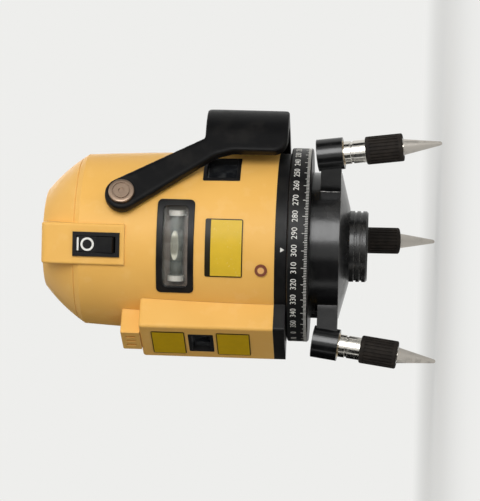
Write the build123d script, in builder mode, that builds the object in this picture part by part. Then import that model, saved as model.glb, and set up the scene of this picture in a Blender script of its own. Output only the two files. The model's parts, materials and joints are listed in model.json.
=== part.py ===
"""Cross line laser level: a self-levelling laser head that turns on a dial base with three spiked feet.

Millimetres, +Z up. The origin is the mouth of the tripod thread under the base. The front, with the
emitter box, looks along -Y. An azimuth is counted in degrees from the front, positive towards +X.
"""

from build123d import *

import os
from math import cos, radians, sin, sqrt, tan

# Clearances
press_fit = 0.02  # round a piece that is pressed or glued into its seat
seat_fit = 0.1  # between a piece and the curved seat that it is fastened to
running_fit = 0.05  # radial, round a pin or shaft that turns
turn_gap = 0.4  # between the fixed dial and the turning head
side_gap = 0.3  # beside a piece that moves past another

# Azimuths of the three-fold layout
front_azimuth = 0.0
panel_azimuth = 60.0  # switch, vial and blank plate
window_azimuths = (117.5, -117.5)
battery_azimuth = -60.0
board_azimuth = 180.0
plug_azimuth = 47.0
foot_azimuths = (0.0, 120.0, -120.0)
post_azimuth = 30.0  # first of three, 120 degrees apart

# Small screws
screw_radius = 1.5
head_radius = 2.8
head_height = 1.6

# Tripod hub, for a 5/8-11 thread
thread_radius = 7.94
hub_radius = 19.5
hub_height = 10.0
hub_chamfer = 1.0
groove_width = 1.2
groove_depth = 0.7
groove_levels = (3.6, 6.8)
spigot_length = 2.5

# Base casting
hub_step = 1.2
cone_height = 5.0
drum_radius = 40.0
drum_height = 16.0
drum_wall = 4.0
casting_floor = 3.0
boss_wall = 3.5
bearing_drop = 2.0  # bearing boss below the drum's top
pillar_radius = 4.0
pillar_gap = 2.0  # to the drum's wall
dial_screw_length = 8.0

# Feet
foot_reach = 19.0  # middle of the ears, from the drum
foot_splay = 8.5
ear_rise = 3.5  # ear level above the drum's lower edge
ear_below = 4.5
ear_drop = 3.0  # upper end of the ears below the dial
ear_wall = 1.8
arm_width = 14.0
arm_height = 11.0
foot_bush_wall = 1.9
stem_radius = 4.8
stem_inset = 0.6
collar_gap = 0.6
collar_wall = 1.3
collar_length = 11.4
band_sink = 0.6
band_length = 1.2
band_depth = 3.4
grip_wall = 2.7
grip_length = 20.0
grip_chamfer = 0.9
swivel_radius = 2.6
swivel_length = 8.0
spike_radius = 4.3
spike_length = 20.4
tip_radius = 1.1
tip_sweep = 75.0  # degrees of the rounded tip

# Dial ring
dial_margin = 3.2  # beyond the skirt
dial_height = 11.4
dial_rim = 3.5
dial_floor = 2.5
dial_edge = 0.6

# Azimuth spindle and its bearing
spindle_radius = 12.0
beam_radius = 6.0
bush_wall = 3.0
washer_thickness = 1.0
shoulder_wall = 5.0
flange_step = 7.0
flange_thickness = 4.0
spindle_end_gap = 0.9
spindle_lip = 1.6
ring_thickness = 1.8
ring_depth = 1.5
ring_reach = 2.0
ring_play = 0.1

# Bottom skirt
skirt_height = 6.2
skirt_rim = 2.7
skirt_wall = 3.5
lip_height = 4.0
lip_wall = 1.8
skirt_screw_length = 9.0

# Head outline
body_radius = 49.8
body_taper = 3.2  # from the skirt to the shoulder
housing_height = 105.0  # skirt to shoulder
dome_radius = 90.0  # bulge of the dome's side
crown_radius = 27.0
dome_height = 21.8  # shoulder to crown
crown_rise = 2.2
seam_rise = 3.0  # seam of the top cap above the shoulder
seam_chamfer = 0.5
shell_wall = 2.5
cap_lip_height = 4.0
cap_lip_wall = 1.6

# Posts and shelf inside the housing
post_inset = 9.8  # from the skin
post_radius = 3.8
post_height = 9.0
shelf_ledge = 6.2
shelf_thickness = 3.0

# Switch tower and switch
tower_width = 22.0
tower_rise = 80.0  # lower end above the housing's lower edge
tower_stand = 0.6
tower_tilt = 2.5
tower_drop = 1.8  # top below the crown
tower_wall = 2.4
tower_corner = 4.0
tower_edge = 1.2
switch_margin = 2.5  # flange above the tower's lower end
switch_width = 13.0
switch_length = 25.2
switch_flange = 1.2
can_margin = 1.0  # flange beyond the can
can_wall = 1.1
can_depth = 15.0
well_gap = 1.0
rocker_gap = 0.3
rocker_rake = 8.0
rocker_pin_radius = 1.2
rocker_floor = 5.0
rocker_pivot_drop = 1.0

# Spirit vial
vial_rise = 53.0
vial_width = 50.0
vial_height = 20.0
vial_corner = 2.5
vial_rim = 3.2
vial_stand = 0.6
vial_frame_depth = 6.0
lens_set = 0.7
lens_thickness = 1.4
tray_base = 5.0
tube_radius = 4.4
tube_length = 38.0
tube_wall = 1.0
tube_cap = 3.0
tube_sink = 0.8
tube_gap = 0.5  # under the lens

# Blank plates and plug
plate_rise = 27.0
plate_width = 31.0
plate_height = 20.0
plate_thickness = 0.4
plate_corner = 1.0
plug_rise = 7.0
plug_radius = 2.6
plug_length = 5.0
plug_head_radius = 3.3
plug_head_height = 0.8

# Emitter box
box_width = 39.0
box_reach = 11.2  # beyond the skirt
box_height = 71.8
box_wall = 2.2
box_edge = 1.6
step_width = 21.0
step_height = 10.4
step_edge = 1.0
step_slot_width = 2.0
step_slot_depth = 1.0
step_slot_pitch = 5.0
beam_opening_width = 30.0
beam_opening_height = 56.0
beam_opening_rise = 36.0
front_plate_width = 27.0
front_plate_height = 18.0
front_plate_gap = 1.7  # to the window

# Laser windows
front_window_rise = 39.0
front_window_width = 22.0
front_window_height = 13.6
side_window_rise = 30.0
side_window_width = 21.0
side_window_height = 20.0
window_corner = 0.8
frame_wall = 1.9
frame_depth = 6.0
frame_stand = 0.3
glass_set = 2.4
glass_thickness = 1.5

# Carry handle
pivot_rise = 82.0
pivot_radius = 3.0
pivot_head_radius = 6.9
pivot_head_height = 2.2
pivot_head_edge = 0.8
pivot_boss_radius = 7.0
pivot_boss_depth = 4.8  # from the inside of the wall to the nut's seat
nut_radius = 5.2
nut_thickness = 4.0
spacer_radius = 7.5
eye_radius = 9.2
arm_thickness = 6.0
handle_gap = 0.4  # arms beyond the skirt
elbow_reach = 30.0
elbow_drop = 46.0
elbow_radius = 6.0
grip_rise = 1.7  # lower edge above the dial
grip_height = 44.5
grip_front = 27.5
grip_gap = 1.8  # grip beyond the skirt
grip_thickness = 10.9
grip_corner = 8.0
grip_edge = 1.0  # side outline past the outer face, so that its rounds meet the face at an angle
bail_corner = 25.0

# Batteries
cell_radius = 7.2
cell_length = 49.2
cell_count = 3
cell_gap = 0.3
button_radius = 2.7
button_height = 1.3
contact_thickness = 0.4
contact_width = 8.0
holder_wall = 1.2
holder_gap = 2.0  # above the posts
cell_inset = 4.3  # cells inside the cover
cover_margin = 0.4
cover_wall = 2.2
notch_width = 14.0
notch_height = 3.0
notch_depth = 0.9
notch_corner = 1.0

# Circuit board
board_width = 40.0
board_thickness = 1.6
board_inset = 2.2  # corners of the board inside the wall
board_gap = 3.0
peg_radius = 2.6
peg_inset = 4.5
board_screw_length = 5.0
chip_size = 12.0
chip_height = 1.8
chip_rise = 9.5
coil_radius = 4.0
coil_height = 5.0
coil_drop = 8.0

# Compensator
plate_ring_thickness = 3.0
plate_gap = 0.6
swing_gap = 5.5  # plate's bore beyond the gimbal ring
gimbal_rise = 6.0  # gimbal axis above the plate
gimbal_wall = 4.0
gimbal_height = 6.0
pin_radius = 2.5
block_gap = 3.8  # between gimbal ring and bearing block
block_clearance = 6.8  # between bearing block and pivot nut
block_length = 7.5
block_width = 10.0
block_cover = 4.0  # above the pin's axis
stem_rod_radius = 5.0
stem_rod_top = 5.0
carrier_radius = 12.5
carrier_above = 12.0
carrier_below = 10.0
barrel_radius = 4.5
barrel_tip = 19.8
barrel_gap = 0.8
lens_ring_radius = 2.4
lens_ring_depth = 1.2
plumb_radius = 4.6
plumb_socket = 4.0
disc_radius = 13.0
disc_thickness = 2.0
disc_rise = 0.6
magnet_radius = 15.0
magnet_bore = 8.0
magnet_height = 4.0
magnet_gap = 3.0  # under the plumb laser

# Levels up the part
casting_bottom = hub_height
drum_bottom = casting_bottom + cone_height
drum_top = drum_bottom + drum_height
floor_top = drum_bottom + casting_floor
bearing_top = drum_top - bearing_drop
ear_level = drum_bottom + ear_rise
dial_top = drum_top + dial_height
skirt_bottom = dial_top + turn_gap
skirt_seat = skirt_bottom + skirt_rim
housing_bottom = skirt_bottom + skirt_height
shoulder_level = housing_bottom + housing_height
seam_level = shoulder_level + seam_rise
crown_level = shoulder_level + dome_height
peak_level = crown_level + crown_rise
post_top = housing_bottom + post_height
holder_bottom = post_top + holder_gap
holder_height = cell_length + button_height + 2 * contact_thickness + 2 * holder_wall
shelf_bottom = holder_bottom + holder_height + side_gap
shelf_top = shelf_bottom + shelf_thickness
gimbal_level = shelf_top + plate_ring_thickness + gimbal_rise
vial_level = housing_bottom + vial_rise
plate_level = housing_bottom + plate_rise
plug_level = housing_bottom + plug_rise
front_window_level = housing_bottom + front_window_rise
side_window_level = housing_bottom + side_window_rise
pivot_level = housing_bottom + pivot_rise
tower_bottom = housing_bottom + tower_rise
tower_top = crown_level - tower_drop
switch_level = tower_bottom + switch_margin + switch_length / 2
grip_bottom = dial_top + grip_rise

# Radii that pieces share
bearing_bore = spindle_radius + running_fit + bush_wall
bearing_boss_radius = bearing_bore + boss_wall
shoulder_outer = spindle_radius + shoulder_wall
flange_radius = shoulder_outer + flange_step
spindle_screw_circle = (shoulder_outer + flange_radius) / 2
dial_screw_circle = drum_radius - drum_wall - pillar_radius - pillar_gap
foot_circle = drum_radius + foot_reach
ear_above = drum_top - ear_level - ear_drop
ear_bush_radius = stem_radius + running_fit + foot_bush_wall
ear_radius = ear_bush_radius + ear_wall
collar_radius = stem_radius + collar_wall
band_radius = collar_radius - band_sink
grip_radius = stem_radius + grip_wall
dial_radius = body_radius + dial_margin
box_front = body_radius + box_reach
post_circle = body_radius - post_inset
shoulder_radius = body_radius - body_taper
lip_radius = body_radius - shell_wall - seat_fit
side_bulge = (housing_height**2 + body_taper**2) / (2 * body_taper)
crown_bulge = (crown_radius**2 + crown_rise**2) / (2 * crown_rise)
far = 2 * body_radius  # a cut that is sure to pass through the head's side


def direction(azimuth):
    """Level unit vector that points outwards at an azimuth."""
    turn = radians(azimuth)
    return Vector(sin(turn), -cos(turn), 0)


def polar_angle(azimuth):
    """Angle from +X of an azimuth, for polar patterns."""
    return azimuth - 90


def side_plane(azimuth, distance, level):
    """Upright plane that faces outwards: x along the side, y up, at a distance from the axis."""
    outwards = direction(azimuth)
    middle = outwards * distance + Vector(0, 0, level)
    return Plane(origin=middle, x_dir=Vector(0, 0, 1).cross(outwards), z_dir=outwards)


def section_plane(azimuth):
    """Upright plane through the axis: x outwards at an azimuth, y up."""
    outwards = direction(azimuth)
    return Plane(origin=(0, 0, 0), x_dir=outwards, z_dir=outwards.cross(Vector(0, 0, 1)))


def foot_plane(azimuth, along=0.0):
    """Plane across a splayed foot, along its axis from the middle of its ear, with the normal upwards."""
    outwards = direction(azimuth)
    upwards = Vector(0, 0, cos(radians(foot_splay))) - outwards * sin(radians(foot_splay))
    middle = outwards * foot_circle + Vector(0, 0, ear_level) + upwards * along
    return Plane(origin=middle, x_dir=Vector(0, 0, 1).cross(outwards), z_dir=upwards)


def crossing(first, first_radius, second, second_radius):
    """Where circles round two centres cross, to the left of the way from the first to the second."""
    way = second - first
    along = (way.length**2 + first_radius**2 - second_radius**2) / (2 * way.length)
    aside = sqrt(first_radius**2 - along**2)
    step = way.normalized()
    return first + step * along + Vector(-step.Y, step.X) * aside


# Centres of the three arcs of the head's outline, in section: its side, its dome and its crown
side_centre = Vector(body_radius - side_bulge, housing_bottom)
dome_chord = Vector(crown_radius - shoulder_radius, dome_height)
dome_depth = sqrt(dome_radius**2 - (dome_chord.length / 2) ** 2)
dome_middle = Vector(shoulder_radius, shoulder_level) + dome_chord / 2
dome_centre = dome_middle + Vector(-dome_chord.Y, dome_chord.X).normalized() * dome_depth
crown_centre = Vector(0, peak_level - crown_bulge)


def outline_radius(level, grow=0.0):
    """Radius of the head's side, an arc that is upright at the skirt and leans in to the shoulder."""
    return side_centre.X + sqrt((side_bulge + grow) ** 2 - (level - side_centre.Y) ** 2)


def dome_inside(level):
    """Inner radius of the dome's wall."""
    return dome_centre.X + sqrt((dome_radius - shell_wall) ** 2 - (level - dome_centre.Y) ** 2)


def round_stretch(centre, start, end):
    """Control points of a cubic curve that follows an arc about a centre, counter-clockwise."""
    first = start - centre
    last = end - centre
    pull = 4 / 3 * tan(radians(first.get_angle(last)) / 4)
    return start, start + Vector(-first.Y, first.X) * pull, end - Vector(-last.Y, last.X) * pull, end


def head_solid(grow, floor=housing_bottom):
    """The head's round outline as a solid, with its skin moved outwards or inwards."""
    foot = Vector(outline_radius(floor, grow), floor)
    shoulder = crossing(side_centre, side_bulge + grow, dome_centre, dome_radius + grow)
    crown = crossing(dome_centre, dome_radius + grow, crown_centre, crown_bulge + grow)
    with BuildPart() as solid:
        with BuildSketch(Plane.XZ):
            with BuildLine():
                Bezier(*round_stretch(side_centre, foot, shoulder))
                Bezier(*round_stretch(dome_centre, shoulder, crown))
                RadiusArc(crown, (0, peak_level + grow), -crown_bulge - grow)
                Polyline((0, peak_level + grow), (0, floor), foot)
            make_face()
        revolve(axis=Axis.Z)
    return solid.part


def upright_box(azimuth, width, height, near, level, corner=0.0):
    """A prism that runs outwards at an azimuth from a near distance right through the head's side."""
    with BuildPart() as prism:
        with BuildSketch(side_plane(azimuth, near, level)):
            if corner:
                RectangleRounded(width, height, corner)
            else:
                Rectangle(width, height)
        extrude(amount=far - near)
    return prism.part


def skin_patch(azimuth, width, height, level, outer, inner, corner=0.0):
    """A piece of the head's skin between two offsets of its outline, cut out square to an azimuth."""
    block = upright_box(azimuth, width, height, 0, level, corner)
    outside = head_solid(outer)
    inside = head_solid(inner)
    with BuildPart() as patch:
        add(outside)
        add(block, mode=Mode.INTERSECT)
        add(inside, mode=Mode.SUBTRACT)
    return patch.part


def screw_set(plane, spots, length):
    """Pan-head screws: heads on the plane, shanks down into it."""
    with BuildPart() as screws:
        with BuildSketch(plane):
            with Locations(*spots):
                Circle(head_radius)
        extrude(amount=head_height)
        with BuildSketch(plane):
            with Locations(*spots):
                Circle(screw_radius)
        extrude(amount=-length)
    return screws.part


def around(circle, azimuth, count=3):
    """Evenly spaced spots on a circle in plan, the first at an azimuth."""
    spots = []
    for index in range(count):
        spot = direction(azimuth + index * 360 / count) * circle
        spots.append((spot.X, spot.Y))
    return spots


def finish(piece, name):
    """Label a finished piece and write it to its file."""
    piece.part.label = name
    export_step(piece.part, f"parts/{name}.step")


os.makedirs("parts", exist_ok=True)

# Base: tripod hub, with the thread that the plumb beam also passes through
with BuildPart() as tripod_hub:
    with BuildSketch():
        Circle(hub_radius)
    extrude(amount=hub_height)
    chamfer(tripod_hub.faces().sort_by(Axis.Z)[0].edges(), hub_chamfer)
    with BuildSketch(Plane.XY.offset(hub_height)):
        Circle(bearing_bore - seat_fit)
    extrude(amount=spigot_length)
    with BuildSketch():
        Circle(thread_radius)
    extrude(amount=hub_height + spigot_length, mode=Mode.SUBTRACT)
    with BuildSketch(Plane.XZ):
        with Locations(*[(hub_radius, level) for level in groove_levels]):
            Rectangle(2 * groove_depth, groove_width)
    revolve(axis=Axis.Z, mode=Mode.SUBTRACT)
finish(tripod_hub, "tripod_hub")

# Base casting: drum with a conical underside, a bearing boss, dial pillars and three ears
dial_screw_spots = around(dial_screw_circle, panel_azimuth)
with BuildPart() as base_casting:
    with BuildSketch(Plane.XZ):
        with BuildLine():
            Polyline(
                (bearing_bore, casting_bottom),
                (hub_radius + hub_step, casting_bottom),
                (drum_radius, drum_bottom),
                (drum_radius, drum_top),
                (drum_radius - drum_wall, drum_top),
                (drum_radius - drum_wall, floor_top),
                (bearing_boss_radius, floor_top),
                (bearing_boss_radius, bearing_top),
                (bearing_bore, bearing_top),
                close=True,
            )
        make_face()
    revolve(axis=Axis.Z)
    with BuildSketch(Plane.XY.offset(floor_top)):
        with Locations(*dial_screw_spots):
            Circle(pillar_radius)
    extrude(amount=drum_top - floor_top)
    with BuildSketch(Plane.XY.offset(drum_bottom)):
        arm_length = foot_circle - drum_radius + drum_wall / 2
        with PolarLocations(foot_circle - arm_length / 2, len(foot_azimuths), polar_angle(front_azimuth)):
            Rectangle(arm_length, arm_width)
    extrude(amount=arm_height)
    with BuildSketch(*[foot_plane(azimuth, -ear_below) for azimuth in foot_azimuths]):
        Circle(ear_radius)
    extrude(amount=ear_below + ear_above)
    with BuildSketch(*[foot_plane(azimuth, -ear_below) for azimuth in foot_azimuths]):
        Circle(ear_bush_radius + press_fit)
    extrude(amount=ear_below + ear_above, mode=Mode.SUBTRACT)
    with BuildSketch(Plane.XY.offset(drum_top)):
        with Locations(*dial_screw_spots):
            Circle(screw_radius + press_fit)
    extrude(amount=dial_floor - head_height - dial_screw_length, mode=Mode.SUBTRACT)
finish(base_casting, "base_casting")

# Threaded bushes in the ears
with BuildPart() as foot_bushes:
    with BuildSketch(*[foot_plane(azimuth, -ear_below) for azimuth in foot_azimuths]):
        Circle(ear_bush_radius)
        Circle(stem_radius + running_fit, mode=Mode.SUBTRACT)
    extrude(amount=ear_below + ear_above)
finish(foot_bushes, "foot_bushes")

# Dial ring, screwed on the drum
with BuildPart() as dial_ring:
    with BuildSketch(Plane.XZ):
        with BuildLine():
            Polyline(
                (shoulder_outer + side_gap, drum_top),
                (dial_radius - dial_edge, drum_top),
                (dial_radius, drum_top + dial_edge),
                (dial_radius, dial_top - dial_edge),
                (dial_radius - dial_edge, dial_top),
                (dial_radius - dial_rim, dial_top),
                (dial_radius - dial_rim, drum_top + dial_floor),
                (shoulder_outer + side_gap, drum_top + dial_floor),
                close=True,
            )
        make_face()
    revolve(axis=Axis.Z)
    with Locations(Plane.XY.offset(drum_top + dial_floor)):
        with Locations(*dial_screw_spots):
            CounterBoreHole(screw_radius + seat_fit, head_radius + seat_fit, head_height)
finish(dial_ring, "dial_ring")

with BuildPart() as dial_screws:
    seat = Plane.XY.offset(drum_top + dial_floor - head_height)
    add(screw_set(seat, dial_screw_spots, dial_screw_length))
finish(dial_screws, "dial_screws")

# Azimuth bearing: bush and thrust washer in the base, spindle and retaining ring on the head
spindle_bottom = casting_bottom + spigot_length + spindle_end_gap
ring_bottom = spindle_bottom + spindle_lip
bush_bottom = ring_bottom + ring_thickness + ring_play
spindle_screw_spots = around(spindle_screw_circle, panel_azimuth)
with BuildPart() as spindle_bush:
    with BuildSketch(Plane.XY.offset(bush_bottom)):
        Circle(bearing_bore - press_fit)
        Circle(spindle_radius + running_fit, mode=Mode.SUBTRACT)
    extrude(amount=bearing_top - bush_bottom)
finish(spindle_bush, "spindle_bush")

with BuildPart() as thrust_washer:
    with BuildSketch(Plane.XY.offset(bearing_top)):
        Circle(shoulder_outer)
        Circle(spindle_radius + running_fit, mode=Mode.SUBTRACT)
    extrude(amount=washer_thickness - running_fit)
finish(thrust_washer, "thrust_washer")

with BuildPart() as azimuth_spindle:
    with BuildSketch(Plane.XZ):
        with BuildLine():
            Polyline(
                (beam_radius, spindle_bottom),
                (spindle_radius, spindle_bottom),
                (spindle_radius, ring_bottom),
                (spindle_radius - ring_depth, ring_bottom),
                (spindle_radius - ring_depth, ring_bottom + ring_thickness),
                (spindle_radius, ring_bottom + ring_thickness),
                (spindle_radius, bearing_top + washer_thickness),
                (shoulder_outer, bearing_top + washer_thickness),
                (shoulder_outer, skirt_seat - flange_thickness),
                (flange_radius, skirt_seat - flange_thickness),
                (flange_radius, skirt_seat),
                (beam_radius, skirt_seat),
                close=True,
            )
        make_face()
    revolve(axis=Axis.Z)
    with BuildSketch(Plane.XY.offset(skirt_seat)):
        with Locations(*spindle_screw_spots):
            Circle(screw_radius + press_fit)
    extrude(amount=-flange_thickness, mode=Mode.SUBTRACT)
finish(azimuth_spindle, "azimuth_spindle")

with BuildPart() as retaining_ring:
    with BuildSketch(Plane.XY.offset(ring_bottom)):
        Circle(spindle_radius + ring_reach)
        Circle(spindle_radius - ring_depth + press_fit, mode=Mode.SUBTRACT)
    extrude(amount=ring_thickness)
finish(retaining_ring, "retaining_ring")

# Feet: a spike that slides along its splayed axis, and a stem with a collar and a grip that turns on it
collar_top = -ear_below - collar_gap
grip_top = collar_top - collar_length
grip_end = grip_top - grip_length
spike_top = grip_end - side_gap
for number, azimuth in enumerate(foot_azimuths, start=1):
    foot_section = Plane(
        origin=foot_plane(azimuth).origin,
        x_dir=foot_plane(azimuth).x_dir,
        z_dir=foot_plane(azimuth).x_dir.cross(foot_plane(azimuth).z_dir),
    )
    foot_axis = Axis(foot_plane(azimuth).origin, foot_plane(azimuth).z_dir)

    with BuildPart() as foot_stem:
        with BuildSketch(foot_section):
            with BuildLine():
                Polyline(
                    (swivel_radius + running_fit, grip_end),
                    (stem_radius, grip_end),
                    (stem_radius, grip_top),
                    (collar_radius, grip_top),
                    (collar_radius, collar_top - band_depth - band_length),
                    (band_radius, collar_top - band_depth - band_length),
                    (band_radius, collar_top - band_depth),
                    (collar_radius, collar_top - band_depth),
                    (collar_radius, collar_top),
                    (stem_radius, collar_top),
                    (stem_radius, ear_above - stem_inset),
                    (0, ear_above - stem_inset),
                    (0, spike_top + swivel_length),
                    (swivel_radius + running_fit, spike_top + swivel_length),
                    close=True,
                )
            make_face()
        revolve(axis=foot_axis)
    finish(foot_stem, f"foot_{number}_stem")

    with BuildPart() as foot_grip:
        with BuildSketch(foot_plane(azimuth, grip_end)):
            Circle(grip_radius)
        extrude(amount=grip_length)
        chamfer(foot_grip.edges().filter_by(GeomType.CIRCLE), grip_chamfer)
        with BuildSketch(foot_plane(azimuth, grip_end)):
            Circle(stem_radius + press_fit)
        extrude(amount=grip_length, mode=Mode.SUBTRACT)
    finish(foot_grip, f"foot_{number}_grip")

    with BuildPart() as foot_spike:
        with BuildSketch(foot_section):
            with BuildLine():
                tip = CenterArc((0, spike_top - spike_length + tip_radius), tip_radius, -90, tip_sweep)
                Polyline(
                    tip @ 1,
                    (spike_radius, spike_top),
                    (swivel_radius, spike_top),
                    (swivel_radius, spike_top + swivel_length - side_gap),
                    (0, spike_top + swivel_length - side_gap),
                    tip @ 0,
                )
            make_face()
        revolve(axis=foot_axis)
    finish(foot_spike, f"foot_{number}_spike")

# Head: bottom skirt under the housing and the emitter box
post_spots = around(post_circle, post_azimuth)
with BuildPart() as bottom_skirt:
    with BuildSketch(Plane.XY.offset(skirt_bottom)):
        Circle(body_radius)
        with Locations((0, -box_front / 2)):
            Rectangle(box_width, box_front)
    extrude(amount=skirt_height)
    fillet(bottom_skirt.edges().filter_by(Axis.Z).group_by(Axis.Y)[0], box_edge)
    with BuildSketch(Plane.XY.offset(skirt_bottom)):
        Circle(body_radius - skirt_wall)
    extrude(amount=skirt_rim, mode=Mode.SUBTRACT)
    with BuildSketch(Plane.XY.offset(housing_bottom)):
        Circle(lip_radius)
        Circle(lip_radius - lip_wall, mode=Mode.SUBTRACT)
        with PolarLocations(lip_radius, 3, polar_angle(post_azimuth)):
            Rectangle(4 * lip_wall, 2 * (post_radius + side_gap), mode=Mode.SUBTRACT)
    extrude(amount=lip_height)
    with BuildSketch(Plane.XY.offset(housing_bottom)):
        Circle(beam_radius)
        with Locations(*post_spots, *spindle_screw_spots):
            Circle(screw_radius + seat_fit)
    extrude(amount=skirt_rim - skirt_height, mode=Mode.SUBTRACT)
finish(bottom_skirt, "bottom_skirt")

# Switch plane on the sloping front of the tower
front_lean = tan(radians(tower_tilt))
tower_root = outline_radius(tower_bottom) + tower_stand
switch_reach = tower_root - (switch_level - tower_bottom) * front_lean
panel_outwards = direction(panel_azimuth)
switch_plane = Plane(
    origin=panel_outwards * switch_reach + Vector(0, 0, switch_level),
    x_dir=Vector(0, 0, 1).cross(panel_outwards),
    z_dir=panel_outwards * cos(radians(tower_tilt)) + Vector(0, 0, sin(radians(tower_tilt))),
)
can_width = switch_width - 2 * can_margin
can_length = switch_length - 2 * can_margin
with BuildPart() as switch_well:
    with BuildSketch(switch_plane):
        Rectangle(can_width + 2 * well_gap, can_length + 2 * well_gap)
    extrude(amount=-can_depth - well_gap)

# What is hollow inside the head: its cavity without the shelf, posts, board pegs and pivot bosses
shelf_radius = outline_radius(shelf_top) - shell_wall - shelf_ledge
pivot_boss_reach = outline_radius(pivot_level) - shell_wall - pivot_boss_depth
board_height = holder_height - 2 * board_gap
board_level = holder_bottom + holder_height / 2
board_reach = outline_radius(board_level + board_height / 2) - shell_wall - board_inset
board_back = sqrt(board_reach**2 - (board_width / 2) ** 2)
peg_spots = [
    (side * (board_width / 2 - peg_inset), end * (board_height / 2 - peg_inset))
    for side in (-1, 1)
    for end in (-1, 1)
]
with BuildPart() as head_cavity:
    add(head_solid(-shell_wall, housing_bottom - 2 * shell_wall))
    with BuildSketch(Plane.XY.offset(shelf_bottom)):
        Circle(body_radius)
        Circle(shelf_radius, mode=Mode.SUBTRACT)
    extrude(amount=shelf_thickness, mode=Mode.SUBTRACT)
    with BuildSketch(Plane.XY.offset(housing_bottom)):
        with Locations(*post_spots):
            Circle(post_radius)
        with PolarLocations((post_circle + body_radius) / 2, 3, polar_angle(post_azimuth)):
            Rectangle(body_radius - post_circle, 2 * post_radius)
    extrude(amount=post_height, mode=Mode.SUBTRACT)
    with BuildSketch(side_plane(board_azimuth, board_back, board_level)):
        with Locations(*peg_spots):
            Circle(peg_radius)
    extrude(amount=far - board_back, mode=Mode.SUBTRACT)
    with BuildSketch(Plane.YZ.offset(pivot_boss_reach), Plane.YZ.offset(-far)):
        with Locations((0, pivot_level)):
            Circle(pivot_boss_radius)
    extrude(amount=far - pivot_boss_reach, mode=Mode.SUBTRACT)

# Openings in the housing's wall
cell_pitch = 2 * cell_radius + cell_gap
cells_width = cell_count * cell_pitch
cover_width = cells_width + 2 * cell_gap
cover_height = holder_height - 2 * holder_wall
cover_level = holder_bottom + holder_height / 2
outer_solid = head_solid(0)
seat_solid = head_solid(seat_fit)
vial_cut = upright_box(panel_azimuth, vial_width, vial_height, 0, vial_level, vial_corner)
cover_cut = upright_box(battery_azimuth, cover_width, cover_height, 0, cover_level)
plug_cut = side_plane(plug_azimuth, 0, plug_level)
beam_cut = upright_box(
    front_azimuth, beam_opening_width, beam_opening_height, 0, housing_bottom + beam_opening_rise
)
window_cuts = [
    upright_box(azimuth, side_window_width, side_window_height, 0, side_window_level, window_corner)
    for azimuth in window_azimuths
]
with BuildPart() as main_housing:
    add(outer_solid)
    split(bisect_by=Plane.XY.offset(seam_level), keep=Keep.BOTTOM)
    chamfer(main_housing.faces().sort_by(Axis.Z)[-1].edges(), seam_chamfer)
    add(head_cavity.part, mode=Mode.SUBTRACT)
    add(switch_well.part, mode=Mode.SUBTRACT)
    add([vial_cut, cover_cut, beam_cut, *window_cuts], mode=Mode.SUBTRACT)
    with BuildSketch(plug_cut):
        Circle(plug_radius + press_fit)
    extrude(amount=far, mode=Mode.SUBTRACT)
    with BuildSketch(Plane.YZ):
        with Locations((0, pivot_level)):
            Circle(pivot_radius + press_fit)
    extrude(amount=far, both=True, mode=Mode.SUBTRACT)
    with BuildSketch(Plane.XY.offset(housing_bottom)):
        with Locations(*post_spots):
            Circle(screw_radius + press_fit)
    extrude(amount=skirt_screw_length + skirt_rim - skirt_height, mode=Mode.SUBTRACT)
    with BuildSketch(side_plane(board_azimuth, board_back, board_level)):
        with Locations(*peg_spots):
            Circle(screw_radius + press_fit)
    extrude(amount=board_screw_length - board_thickness, mode=Mode.SUBTRACT)
    shelf_screw_spots = around((shelf_radius + lip_radius) / 2 - shell_wall, post_azimuth)
    with BuildSketch(Plane.XY.offset(shelf_top)):
        with Locations(*shelf_screw_spots):
            Circle(screw_radius + press_fit)
    extrude(amount=-shelf_thickness, mode=Mode.SUBTRACT)
finish(main_housing, "main_housing")

# Top cap, with a lip that drops into the housing
cap_lip_radius = dome_inside(seam_level) - seat_fit
with BuildPart() as top_cap:
    add(outer_solid)
    split(bisect_by=Plane.XY.offset(seam_level), keep=Keep.TOP)
    chamfer(top_cap.faces().sort_by(Axis.Z)[0].edges(), seam_chamfer)
    add(head_cavity.part, mode=Mode.SUBTRACT)
    with BuildSketch(Plane.XY.offset(seam_level - cap_lip_height)):
        Circle(cap_lip_radius)
        Circle(cap_lip_radius - cap_lip_wall, mode=Mode.SUBTRACT)
    extrude(amount=2 * cap_lip_height)
    add(switch_well.part, mode=Mode.SUBTRACT)
finish(top_cap, "top_cap")

# Switch tower: a flat-fronted block on the dome, hollow inside
def tower_prism(inset):
    """The tower's block, drawn in section and as wide as the tower, with all walls moved in."""
    high = tower_top - inset
    low = tower_bottom + inset
    with BuildPart() as prism:
        with BuildSketch(section_plane(panel_azimuth)):
            with BuildLine():
                Polyline(
                    (0, low),
                    (tower_root - inset - inset * front_lean, low),
                    (tower_root - inset - (high - tower_bottom) * front_lean, high),
                    (0, high),
                    close=True,
                )
            make_face()
        extrude(amount=tower_width / 2 - inset, both=True)
    return prism.part


tower_hollow = tower_prism(tower_wall)
tower_block = tower_prism(0)
with BuildPart() as switch_tower:
    add(tower_block)
    top_front = switch_tower.faces().sort_by(Axis.Z)[-1].edges().sort_by_distance(switch_plane.origin)[0]
    fillet(top_front, tower_corner)
    front_face = switch_tower.faces().sort_by_distance(switch_plane.origin)[0]
    fillet(front_face.edges().filter_by(GeomType.LINE).group_by(SortBy.LENGTH)[-1], tower_edge)
    add(tower_hollow, mode=Mode.SUBTRACT)
    add(seat_solid, mode=Mode.SUBTRACT)
    with BuildSketch(switch_plane):
        Rectangle(can_width + 2 * press_fit, can_length + 2 * press_fit)
    extrude(amount=-can_depth, mode=Mode.SUBTRACT)
finish(switch_tower, "switch_tower")

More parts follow.
